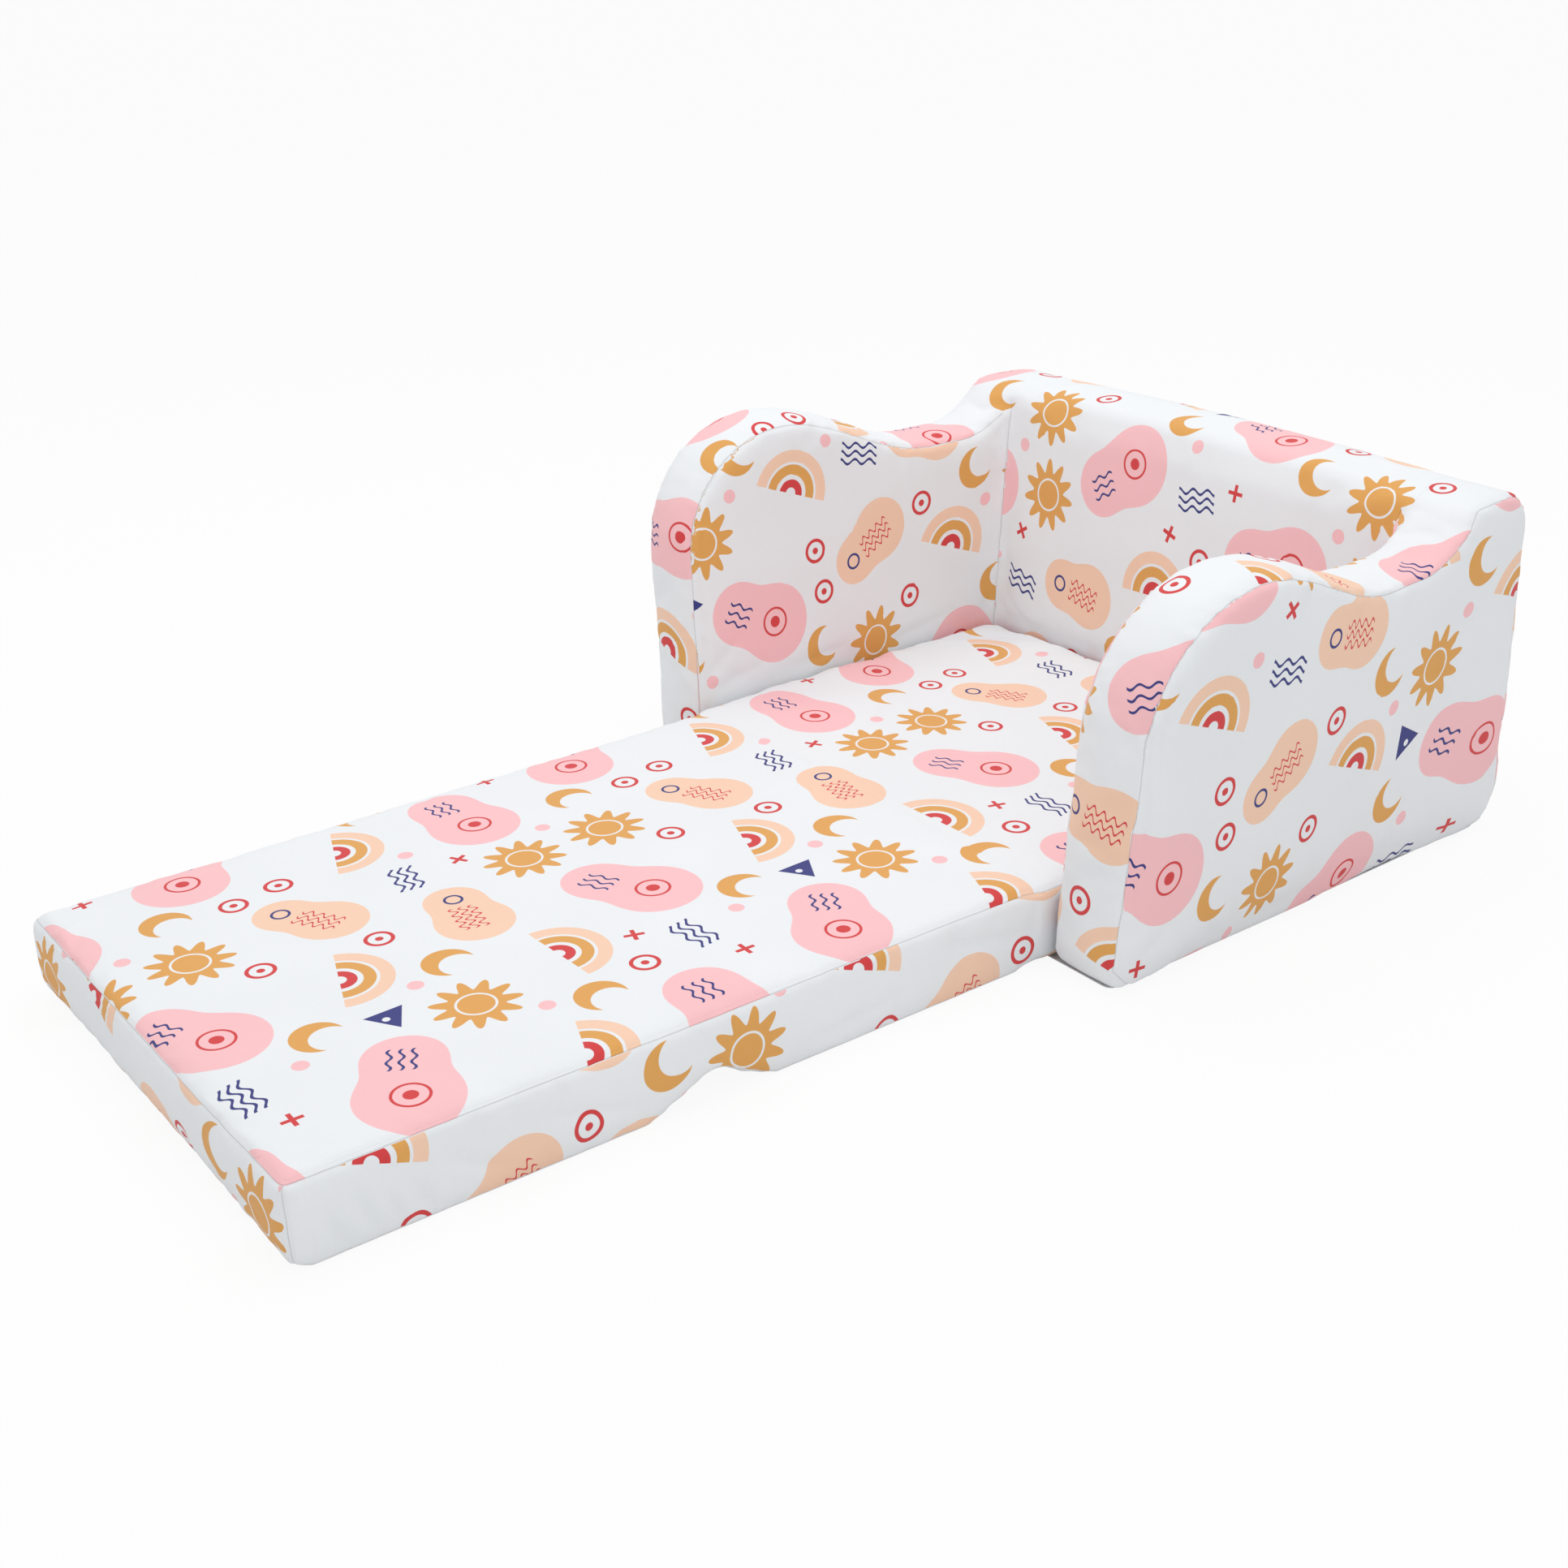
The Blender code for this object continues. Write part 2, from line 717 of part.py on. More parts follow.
def puffed(point, share):
    """A point of the backrest, pushed towards the seat by the padding behind it."""
    x, y, z = point
    along = min(max((z - PAD_THICKNESS) / (BACK_HEIGHT - BROW_RADIUS - PAD_THICKNESS), 0.0), 1.0)
    out = BACKREST_PUFF * (1 - share * share) * math.sin(math.pi * along)
    return (x, y - out, z)


def make_zip():
    """The zip along the foot of the rear: two tapes, the chain, its stops and the slider."""
    face_y = FRONT_Y + SOFA_DEPTH - REAR_TUCK
    corner = Vector((SOFA_WIDTH / 2 - SIDE_BULGE - ARM_EDGE, face_y, ZIP_HEIGHT))
    reach = settle(corner).x - GAP
    under = face_y - GAP
    slot = CHAIN_WIDTH / 2 + GAP
    hem_edge = ZIP_LOW + GAP
    cover_edge = sofa_shape((SOFA_DEPTH, ZIP_HIGH), 0.0, ARM_CROWN)[1] - GAP
    for label, low, high in (
        ("lower", hem_edge, ZIP_HEIGHT - slot),
        ("upper", ZIP_HEIGHT + slot, cover_edge),
    ):
        box("zip_tape_" + label, (-reach, under - TAPE, low), (reach, under, high), ZIP_CLOTH)
    end = reach - ZIP_END_SPACE
    chain_top = face_y + CHAIN_PROUD
    box(
        "zip_chain",
        (-end, chain_top - CHAIN_DEPTH, ZIP_HEIGHT - CHAIN_WIDTH / 2),
        (end, chain_top, ZIP_HEIGHT + CHAIN_WIDTH / 2),
        ZIP_PLASTIC,
    )
    for side, label in ((-1, "left"), (1, "right")):
        near = side * (end + GAP)
        far = side * (end + GAP + STOP_LENGTH)
        box(
            "zip_stop_" + label,
            (min(near, far), face_y, ZIP_HEIGHT - STOP_WIDTH / 2),
            (max(near, far), chain_top, ZIP_HEIGHT + STOP_WIDTH / 2),
            ZIP_METAL,
        )
    make_slider(end, face_y)


def make_slider(end, face_y):
    """The slider: a channel that straddles the chain, at the closed end."""
    inner = CHAIN_WIDTH / 2 + GAP
    outer = inner + SLIDER_WALL
    roof = face_y + CHAIN_PROUD + GAP
    foot = face_y + GAP
    start = end - GAP - SLIDER_LENGTH
    profile = [
        (foot, -outer),
        (foot, -inner),
        (roof, -inner),
        (roof, inner),
        (foot, inner),
        (foot, outer),
        (roof + SLIDER_WALL, outer),
        (roof + SLIDER_WALL, -outer),
    ]
    origin = (start, face_y, ZIP_HEIGHT)
    shape_mesh = bmesh.new()
    face = shape_mesh.faces.new(
        [shape_mesh.verts.new((0.0, y - face_y, z)) for y, z in profile]
    )
    sweep = bmesh.ops.extrude_face_region(shape_mesh, geom=[face])
    moved = [item for item in sweep["geom"] if isinstance(item, bmesh.types.BMVert)]
    bmesh.ops.translate(shape_mesh, verts=moved, vec=(SLIDER_LENGTH, 0.0, 0.0))
    mesh = to_mesh(shape_mesh, "zip_slider")
    place(mesh, "zip_slider", ZIP_METAL, origin)


def make_base():
    """The sheet that ties arms, back and seat together underneath."""
    reach = SOFA_WIDTH / 2 - SIDE_BULGE - GAP
    front = FRONT_Y + BASE_SETBACK
    back = FRONT_Y + HEEL_START + HEEL_RADIUS / 2
    shape_mesh = bmesh.new()
    bmesh.ops.create_cube(shape_mesh, size=1.0)
    for vert in shape_mesh.verts:
        vert.co.x *= 2 * reach
        vert.co.y = (front + back) / 2 + vert.co.y * (back - front)
        vert.co.z = CLOTH / 2 + vert.co.z * CLOTH
    upright = [
        edge
        for edge in shape_mesh.edges
        if abs(edge.verts[0].co.z - edge.verts[1].co.z) > CLOTH / 2
    ]
    bmesh.ops.bevel(
        shape_mesh,
        geom=upright,
        offset=BASE_CORNER,
        offset_type="OFFSET",
        affect="EDGES",
        segments=4,
        profile=0.5,
        material=-1,
    )
    place(to_mesh(shape_mesh, "base_cloth", settle), "base_cloth", BASE_CLOTH)


def seat_outline(sole):
    """Outline of the seat pad, from its front foot round to its front top."""
    front = GAP / 2
    end = SEAT_DEPTH - GAP
    low = [(front, sole), (end, sole)]
    top_rear = (end - PAD_REAR_RADIUS, PAD_THICKNESS - PAD_REAR_RADIUS)
    top_front = (front + PAD_JOINT_RADIUS, PAD_THICKNESS - PAD_JOINT_RADIUS)
    over = arc(top_rear, PAD_REAR_RADIUS, 0, 90, 3)
    over += between(over[-1], (top_front[0], PAD_THICKNESS), RUN_SHARES)
    return low, over, arc(top_front, PAD_JOINT_RADIUS, 90, 180, 2)


def make_seat():
    """The seat pad between the arms: its foam, top panel and two side strips."""
    half = INNER_WIDTH / 2 - GAP
    shape = pad_shape(False)
    low, over, nose = seat_outline(0.0)
    foam_points = offset(drop_doubles(low + over + nose), SKIN)
    rings = wall_rings(
        foam_points, shape, half - SKIN, PAD_EDGE - SKIN, PAD_CROWN, PAD_COLUMN_SHARES
    )
    centre = (FRONT_Y + SEAT_DEPTH * PAD_CENTRE_SHARE, PAD_THICKNESS * PAD_CENTRE_SHARE)
    foam_block("seat_foam", rings, centre)
    low, over, nose = seat_outline(SKIN)
    front_face = between(nose[-1], low[0], DOWN_SHARES)
    top = wall_rings(
        drop_doubles(over + nose + front_face), shape, half, PAD_EDGE, PAD_CROWN, PAD_COLUMN_SHARES
    )
    wall_panel("seat_top_panel", top, (0.0, 0.0, 1.0), PRINT_CLOTH)
    inner = inside_wall(low, over, nose)
    for side, label in ((-1, "left"), (1, "right")):
        rings = cap_rings(
            inner, shape, half, PAD_EDGE, PAD_CROWN, 0.0, side, centre
        )
        cap_panel("seat_" + label + "_band", rings, side, PRINT_CLOTH)


def inside_wall(low, over, nose):
    """The seat's side outline, set back behind the cloth on its front and rear."""
    front = low[0][0] + SKIN
    end = low[1][0] - SKIN
    points = drop_doubles(low + over + nose)
    return [(min(max(y, front), end), z) for y, z in points]


def middle_outline():
    """Outline of the middle pad: base from its rear foot to the notch, then face and top."""
    rear_y = -GAP / 2
    joint_y = -MIDDLE_LENGTH + GAP / 2
    foot = arc((rear_y - MIDDLE_HEEL_RADIUS, MIDDLE_HEEL_RADIUS), MIDDLE_HEEL_RADIUS, 360, 270, 4)
    notch = (joint_y, NOTCH_HEIGHT)
    shoulder = (joint_y + NOTCH_MIDDLE_RUN, 0.0)
    bend = (joint_y + NOTCH_MIDDLE_RUN / 2, NOTCH_HEIGHT / 2 - NOTCH_LIP)
    base = foot + between(foot[-1], shoulder, RUN_SHARES) + [shoulder, bend, notch]
    front_top = (joint_y + PAD_JOINT_RADIUS, PAD_THICKNESS - PAD_JOINT_RADIUS)
    rear_top = (rear_y - PAD_JOINT_RADIUS, PAD_THICKNESS - PAD_JOINT_RADIUS)
    over = arc(front_top, PAD_JOINT_RADIUS, 180, 90, 2)
    over += between(over[-1], (rear_top[0], PAD_THICKNESS), RUN_SHARES)
    over += arc(rear_top, PAD_JOINT_RADIUS, 90, 0, 2)
    return base, over


def end_outline():
    """Outline of the end pad: base from the notch to the front foot, then front and top."""
    joint_y = -MIDDLE_LENGTH - GAP / 2
    front_y = -PAD_LENGTH
    notch = (joint_y, NOTCH_HEIGHT)
    shoulder = (joint_y - NOTCH_END_RUN, 0.0)
    chin = arc((front_y + PAD_CHIN_RADIUS, PAD_CHIN_RADIUS), PAD_CHIN_RADIUS, 270, 180, 4)
    base = [notch, shoulder] + between(shoulder, chin[0], RUN_SHARES) + chin[:3]
    nose = arc(
        (front_y + PAD_NOSE_RADIUS, PAD_THICKNESS - PAD_NOSE_RADIUS), PAD_NOSE_RADIUS, 180, 90, 4
    )
    front = chin[3:] + between(chin[-1], nose[0], HALF_WAY_SHARES) + nose[:3]
    rear_top = (joint_y - PAD_JOINT_RADIUS, PAD_THICKNESS - PAD_JOINT_RADIUS)
    over = nose[3:] + between(nose[-1], (rear_top[0], PAD_THICKNESS), RUN_SHARES)
    over += arc(rear_top, PAD_JOINT_RADIUS, 90, 0, 2)
    return base, front, over


def raised(points, amount):
    """Points of a base outline lifted clear of the base cloth, square to the outline."""
    moved = []
    for index, point in enumerate(points):
        before = Vector(points[max(index - 1, 0)])
        after = Vector(points[min(index + 1, len(points) - 1)])
        run = (after - before).normalized()
        moved.append((point[0] + run.y * amount, point[1] - run.x * amount))
    return moved


def make_pad(name, base, front, over, free_end, start, end, origin):
    """One folding pad: foam, top panel, side strips, base cloth and, at a free end, a front strip."""
    half = INNER_WIDTH / 2 - PAD_SLACK
    shape = pad_shape(free_end)
    bend = waist(start, end)
    whole = drop_doubles(base + front + over)
    rings = wall_rings(
        offset(whole, SKIN), shape, half - SKIN, PAD_EDGE - SKIN, PAD_CROWN, PAD_COLUMN_SHARES
    )
    centre = (
        FRONT_Y + start + (end - start) * PAD_CENTRE_SHARE,
        PAD_THICKNESS * PAD_CENTRE_SHARE,
    )
    foam_block(name + "_foam", rings, centre, origin, bend)
    top = wall_rings(drop_doubles(over), shape, half, PAD_EDGE, PAD_CROWN, PAD_COLUMN_SHARES)
    wall_panel(name + "_top_panel", top, (0.0, 0.0, 1.0), PRINT_CLOTH, origin, bend)
    flat = [ring(base, shape, share * half, 0.0, 0.0) for share in REST_COLUMN_SHARES]
    wall_panel(name + "_base_cloth", flat, (0.0, 0.0, -1.0), BASE_CLOTH, origin, bend)
    if front:
        strip = wall_rings(
            front_strip(front), shape, half, PAD_EDGE, PAD_CROWN, PAD_COLUMN_SHARES
        )
        wall_panel(name + "_front_band", strip, (0.0, -1.0, 0.0), PRINT_CLOTH, origin, bend)
    low = -PAD_LENGTH if free_end else start + SKIN
    side_top = [(min(max(y, low), end - SKIN), z) for y, z in over]
    lifted = raised(base, SKIN)
    for side, label in ((-1, "left"), (1, "right")):
        rings = cap_rings(
            drop_doubles(lifted + front + side_top),
            shape,
            half,
            PAD_EDGE,
            PAD_CROWN,
            0.0,
            side,
            centre,
        )
        cap_panel(name + "_" + label + "_band", rings, side, PRINT_CLOTH, origin, bend)


def front_strip(front):
    """The front strip's outline, shortened by the seam's gap at each end."""
    first = between(front[0], front[1], (SEAM_GAP / math.dist(front[0], front[1]),))
    last = between(front[-1], front[-2], (SEAM_GAP / math.dist(front[-1], front[-2]),))
    return first + front[1:-1] + last


clear_scene()
PARTS = new_collection("kids_flip_open_sofa")

make_back()
for arm_side, arm_label in ((-1, "left"), (1, "right")):
    make_arm(arm_side, arm_label)
    make_outer_panel(arm_side, arm_label)
make_zip()
make_base()
make_seat()

middle_hinge = (0.0, FRONT_Y, PAD_THICKNESS + FOLD_CLEARANCE / 2)
end_hinge = (0.0, FRONT_Y - MIDDLE_LENGTH, -FOLD_CLEARANCE / 2)
middle_base, middle_over = middle_outline()
make_pad("middle", middle_base, [], middle_over, False, -MIDDLE_LENGTH, 0.0, middle_hinge)
end_base, end_front, end_over = end_outline()
make_pad("end", end_base, end_front, end_over, True, -PAD_LENGTH, -MIDDLE_LENGTH, end_hinge)
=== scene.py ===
# %% [markdown]
# # A child's fold-out sofa in printed cloth
# The sofa is foam in sewn covers: two wavy arms and a back in one surround, and a mattress
# between them that folds out over the floor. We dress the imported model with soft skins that
# swell between their seams, a printed cloth made of nodes, and plain studio light.

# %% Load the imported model
import math
import random

import bmesh
import bpy
import numpy as np
from mathutils import Matrix, Vector


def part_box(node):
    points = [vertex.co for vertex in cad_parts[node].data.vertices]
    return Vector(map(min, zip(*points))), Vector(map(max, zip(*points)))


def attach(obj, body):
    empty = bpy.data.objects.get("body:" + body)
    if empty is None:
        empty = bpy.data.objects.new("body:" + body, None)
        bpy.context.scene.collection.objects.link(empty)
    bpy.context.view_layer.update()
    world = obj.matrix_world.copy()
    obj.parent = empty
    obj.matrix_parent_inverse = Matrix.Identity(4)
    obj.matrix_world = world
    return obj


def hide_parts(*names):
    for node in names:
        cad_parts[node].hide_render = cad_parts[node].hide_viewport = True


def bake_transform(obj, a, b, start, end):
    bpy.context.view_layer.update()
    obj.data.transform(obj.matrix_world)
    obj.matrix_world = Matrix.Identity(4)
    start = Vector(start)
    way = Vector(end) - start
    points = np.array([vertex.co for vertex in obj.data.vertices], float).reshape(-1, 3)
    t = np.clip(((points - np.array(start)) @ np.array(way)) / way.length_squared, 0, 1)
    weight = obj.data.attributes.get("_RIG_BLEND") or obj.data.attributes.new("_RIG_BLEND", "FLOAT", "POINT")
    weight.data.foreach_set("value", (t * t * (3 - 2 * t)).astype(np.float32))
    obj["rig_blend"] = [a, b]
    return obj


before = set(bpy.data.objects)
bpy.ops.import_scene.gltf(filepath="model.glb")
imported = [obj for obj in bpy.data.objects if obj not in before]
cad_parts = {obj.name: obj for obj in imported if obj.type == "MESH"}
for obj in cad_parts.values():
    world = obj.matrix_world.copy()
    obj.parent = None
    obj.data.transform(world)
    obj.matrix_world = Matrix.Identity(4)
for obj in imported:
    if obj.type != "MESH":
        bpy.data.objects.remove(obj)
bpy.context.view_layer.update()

# %% [markdown]
# The camera comes first. It stands to the right of the open foot end, a little above eye
# height for such a low piece, and leans by two degrees. The lens is a mild telephoto.

# %% Camera
CAMERA_PLACE = Vector((1.5619, -1.1019, 0.9793))
CAMERA_AZIMUTH = math.radians(54.745)
CAMERA_HEIGHT = math.radians(24.353)
CAMERA_ROLL = math.radians(-2.0908)
FOCAL_PIXELS = 2659.0
PICTURE_PIXELS = 1932


def camera_turn(azimuth, height, roll):
    """The camera's rotation, from where it looks and how it leans."""
    level = math.cos(height)
    back = Vector((math.sin(azimuth) * level, -math.cos(azimuth) * level, math.sin(height)))
    right = (-back).cross(Vector((0.0, 0.0, 1.0))).normalized()
    up = right.cross(-back)
    leaning_right = math.cos(roll) * right + math.sin(roll) * up
    leaning_up = -math.sin(roll) * right + math.cos(roll) * up
    return Matrix((leaning_right, leaning_up, back)).transposed()


lens = bpy.data.cameras.new("view")
lens.sensor_width = 36.0
lens.lens = lens.sensor_width * FOCAL_PIXELS / PICTURE_PIXELS
lens.clip_start = 0.05
camera = bpy.data.objects.new("view", lens)
camera.matrix_world = Matrix.Translation(CAMERA_PLACE) @ camera_turn(
    CAMERA_AZIMUTH, CAMERA_HEIGHT, CAMERA_ROLL
).to_4x4()
bpy.context.scene.collection.objects.link(camera)
bpy.context.scene.camera = camera
print("lens:", round(lens.lens, 2), "mm")

# %% [markdown]
# The sofa's drawing has straight sides before the foam settles: arms splay, the rear
# narrows and the backrest leans. We keep the same rule here, and its inverse, so that each
# point of a finished skin knows where it lay on the flat pattern of its cloth panel.

# %% Sizes shared with the model
SOFA_WIDTH = 0.740
SEAT_DEPTH = 0.460
SOFA_DEPTH = 0.571
BACK_HEIGHT = 0.365
ARM_WIDTH = 0.091
PAD_THICKNESS = 0.086
MIDDLE_LENGTH = 0.355
PAD_LENGTH = 0.743
FRONT_Y = (PAD_LENGTH - SOFA_DEPTH) / 2
INNER_HALF = SOFA_WIDTH / 2 - ARM_WIDTH
HEEL_START = 0.527
ARM_SPLAY = 0.036
REAR_TAPER = 0.015
BACK_LEAN = 0.043
BACK_PUFF = 0.006
PUFF_RUN = 0.060
ZIP_HEIGHT = 0.056
ZIP_HIGH = 0.068
print("sofa front plane at y =", round(FRONT_Y, 4))


def ease(share):
    """A smooth step from 0 to 1, for arrays."""
    share = np.clip(share, 0.0, 1.0)
    return share * share * (3 - 2 * share)


def settled(points):
    """Where points of the straight drawing lie once the foam has settled."""
    x, y, z = points.T
    run = np.maximum(y - FRONT_Y, 0.0)
    half = SOFA_WIDTH / 2
    height = z / BACK_HEIGHT
    splay = ARM_SPLAY * height * (1 - (run / SOFA_DEPTH) ** 2) * x / half
    outer = 0.5 + 0.5 * (np.abs(x) - INNER_HALF) / ARM_WIDTH
    share = np.where(np.abs(x) < INNER_HALF, 0.5 * np.abs(x) / INNER_HALF, outer)
    narrow = REAR_TAPER * run / SOFA_DEPTH * share * np.sign(x)
    tail = np.clip((HEEL_START - run) / (HEEL_START - SEAT_DEPTH), 0.0, None)
    lean = np.where(run > SEAT_DEPTH, tail, ease(run / SEAT_DEPTH))
    puff = ease((run - SEAT_DEPTH + PUFF_RUN) / PUFF_RUN) * (1 - (x / half) ** 2)
    puff = puff * ease((z - ZIP_HIGH) / (BACK_HEIGHT - ZIP_HIGH))
    return np.column_stack(
        (x + splay - narrow, y - BACK_LEAN * (1 - height) * lean, z + BACK_PUFF * puff)
    )


def unsettled(points):
    """The inverse of settled, found by repeating the small correction."""
    drawn = points.copy()
    for _ in range(8):
        drawn += points - settled(drawn)
    return drawn


# %% [markdown]
# Each soft piece starts from the model's own solids. We copy their meshes into one, merge
# their points, and let a voxel remesh draw one even skin round them. Where a panel stands
# off its foam, a second copy a few millimetres behind it fills the space. A few rounds of
# smoothing take out the voxels' steps.

# %% Skin helpers
VOXEL = 0.007


def points_of(mesh, key="co"):
    """A mesh's points as an array, or its point normals with the key normal."""
    flat = np.empty(len(mesh.vertices) * 3)
    mesh.vertices.foreach_get(key, flat)
    return flat.reshape(-1, 3)


def put_points(mesh, points):
    """Writes an array of points back to a mesh."""
    mesh.vertices.foreach_set("co", points.ravel())
    mesh.update()


def press(mesh, depth):
    """Moves all points inwards, by one depth or each by its own."""
    put_points(mesh, points_of(mesh) - points_of(mesh, "normal") * np.reshape(depth, (-1, 1)))


def drawing(mesh, front=-1.0):
    """A skin's points as drawn, and how far across, back and up each is. Before front they stay."""
    spots = points_of(mesh)
    drawn = np.where((spots[:, 1] > front)[:, None], unsettled(spots), spots)
    return drawn, np.abs(drawn[:, 0]), drawn[:, 1] - FRONT_Y, drawn[:, 2]


def mesh_from(name, work):
    """Turns a bmesh into a mesh."""
    mesh = bpy.data.meshes.new(name)
    work.to_mesh(mesh)
    work.free()
    return mesh


def new_piece(name, mesh):
    """Links a mesh as an object at the origin."""
    piece = bpy.data.objects.new(name, mesh)
    bpy.context.scene.collection.objects.link(piece)
    return piece


def finished_mesh(piece):
    """The mesh of a piece with its modifiers applied."""
    graph = bpy.context.evaluated_depsgraph_get()
    return bpy.data.meshes.new_from_object(piece.evaluated_get(graph))


def smooth(mesh, rounds):
    """Evens a mesh out by moving each point towards its neighbours."""
    work = bmesh.new()
    work.from_mesh(mesh)
    axes = {"use_axis_x": True, "use_axis_y": True, "use_axis_z": True}
    for _ in range(rounds):
        bmesh.ops.smooth_vert(work, verts=work.verts, factor=0.5, **axes)
    work.to_mesh(mesh)
    work.free()


def skin_of(name, nodes, backings=(), voxel=VOXEL):
    """One even skin round several of the model's solids. A backing fills in behind a panel."""
    work = bmesh.new()
    for node in nodes:
        work.from_mesh(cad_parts[node].data)
    for node, move in backings:
        known = len(work.verts)
        work.from_mesh(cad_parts[node].data)
        work.verts.ensure_lookup_table()
        bmesh.ops.translate(work, verts=work.verts[known:], vec=move)
    bmesh.ops.remove_doubles(work, verts=work.verts, dist=0.00001)
    piece = new_piece(name, mesh_from(name, work))
    remesh = piece.modifiers.new("skin", "REMESH")
    remesh.mode = "VOXEL"
    remesh.voxel_size = voxel
    made = finished_mesh(piece)
    piece.modifiers.clear()
    piece.data = made
    smooth(made, 2)
    print(name, "skin:", len(made.vertices), "points")
    return piece


def set_fields(mesh, domain="POINT", **fields):
    """Stores fields by name: one number or one vector for every point or face of a mesh."""
    for name, values in fields.items():
        kind, key = ("FLOAT", "value") if values.ndim == 1 else ("FLOAT_VECTOR", "vector")
        field = mesh.attributes.new(name, kind, domain)
        field.data.foreach_set(key, values.astype(np.float32).ravel())


def get_field(mesh, name):
    """Reads back a point field that set_fields stored."""
    field = mesh.attributes[name]
    key, size = ("value", 1) if field.data_type == "FLOAT" else ("vector", 3)
    values = np.empty(len(mesh.vertices) * size, np.float32)
    field.data.foreach_get(key, values)
    values = values.astype(float)
    return values if size == 1 else values.reshape(-1, 3)


# %% [markdown]
# Foam under a taut cover swells a little between the seams and is held at them. Cloth
# simulation does this: the skin gets a light inner pressure, its seams are pinned, and no
# point may move further than a cap. Afterwards one round of subdivision makes it fine.

# %% Filling and seams
FILL_FRAMES = 12


def fill(piece, held, cap, pressure=4.0, slack=0.012):
    """Swells a skin by inner pressure. held is 1 where it is sewn down, cap each point's reach."""
    rest = points_of(piece.data)
    pins = piece.vertex_groups.new(name="held")
    for index, weight in enumerate(held):
        if weight > 0.01:
            pins.add([index], float(weight), "REPLACE")
    cloth = piece.modifiers.new("fill", "CLOTH")
    cloth.settings.use_pressure = True
    cloth.settings.uniform_pressure_force = pressure
    cloth.settings.vertex_group_mass = "held"
    cloth.settings.shrink_min = -slack
    cloth.settings.effector_weights.gravity = 0.0
    cloth.settings.quality = 3
    cloth.collision_settings.use_collision = False
    cloth.point_cache.frame_start = 1
    cloth.point_cache.frame_end = FILL_FRAMES
    for number in range(1, FILL_FRAMES + 1):
        bpy.context.scene.frame_set(number)
    swollen = points_of(finished_mesh(piece))
    bpy.context.scene.frame_set(1)
    piece.modifiers.clear()
    piece.vertex_groups.clear()
    move = swollen - rest
    length = np.linalg.norm(move, axis=1)
    share = cap * np.tanh(length / cap) / np.maximum(length, 1e-9)
    put_points(piece.data, rest + move * share[:, None])
    print(piece.name, "swelled by", round(float((length * share).mean()) * 1000, 2), "mm")


def refine(piece):
    """One round of subdivision, applied."""
    finer = piece.modifiers.new("finer", "SUBSURF")
    finer.levels = 1
    finer.render_levels = 1
    mesh = finished_mesh(piece)
    piece.modifiers.clear()
    piece.data = mesh
    mesh.shade_smooth()


def nearest_seam(mesh):
    """Distance to the nearer of the two kinds of seam: along an edge, or down a corner."""
    edge = np.abs(get_field(mesh, "seam")) + get_field(mesh, "no_seam")
    return np.minimum(edge, np.abs(get_field(mesh, "corner")) + get_field(mesh, "no_corner"))


def sink(mesh, distance, depth, width):
    """Draws a skin in along a seam, from each point's distance to it."""
    press(mesh, depth * np.exp(-((distance / width) ** 2)))


SKIN_INSET = 0.0015
PINNED_WIDTH = 0.004
GROOVE_WIDTH = 0.0035


def upholster(piece, pinned, reach, depth):
    """Fills a skin between its seams and pinned points, makes it finer and sinks its seams."""
    held = np.exp(-((nearest_seam(piece.data) / PINNED_WIDTH) ** 2))
    press(piece.data, SKIN_INSET)
    fill(piece, np.where(pinned, 1.0, held), reach)
    refine(piece)
    sink(piece.data, nearest_seam(piece.data), depth, GROOVE_WIDTH)


def set_down(mesh, drop):
    """Lowers the foot of a skin until its soft edge meets the floor."""
    spots = points_of(mesh)
    spots[:, 2] -= drop * (1 - ease((spots[:, 2] - 0.003) / 0.02))
    put_points(mesh, spots)


# %% [markdown]
# No sewn cover is perfectly even. A sum of long sine waves with fixed random directions
# gives each panel a faint unevenness, and a few soft creases are laid where the cloth of
# the real sofa shows them: low on the pads' sides and at the feet of the arms.

# %% Unevenness and creases
def ripple(points, seed, length):
    """Soft random numbers round 0, from a sum of sine waves in fixed random directions."""
    dice = random.Random(seed)
    total = np.zeros(len(points))
    for _ in range(5):
        turn = np.array([dice.uniform(-1, 1) for _ in range(3)])
        turn *= 2 * math.pi / (length * dice.uniform(0.7, 1.4) * np.linalg.norm(turn))
        total += np.sin(points @ turn + dice.uniform(0, 2 * math.pi)) / 5
    return total


def crease(spots, start, end, width):
    """1 along a soft line between two spots, fading to 0 beside it and towards its ends."""
    start, end = np.array(start), np.array(end)
    run = end - start
    share = np.clip(((spots - start) @ run) / (run @ run), 0.0, 1.0)
    away = np.linalg.norm(spots - start - share[:, None] * run, axis=1)
    return np.exp(-((away / width) ** 2)) * np.sin(np.pi * (0.06 + 0.88 * share))


# %% [markdown]
# The surround's side panels are cut to a wavy profile: a hump over the front of each arm, a
# dip, a hollow rise and the back's rounded top. A boxing strip follows that profile. We
# draw the profile as a line, so that each point can measure how far along the strip it
# lies, and how far inside the side panel.

# %% Profile of the arms and the back
def arc(centre, radius, start, end, steps=24):
    """Points on a circle or an ellipse, from start to end in degrees."""
    angles = np.radians(np.linspace(start, end, steps + 1))
    return centre + radius * np.column_stack((np.cos(angles), np.sin(angles)))


BROW = 0.020
CREST = 0.045
HEEL = 0.040
REAR_LINE = np.vstack(
    (
        arc((SOFA_DEPTH - CREST, BACK_HEIGHT - CREST), CREST, 90, 0),
        arc((HEEL_START, HEEL), HEEL, 0, -90),
    )
)


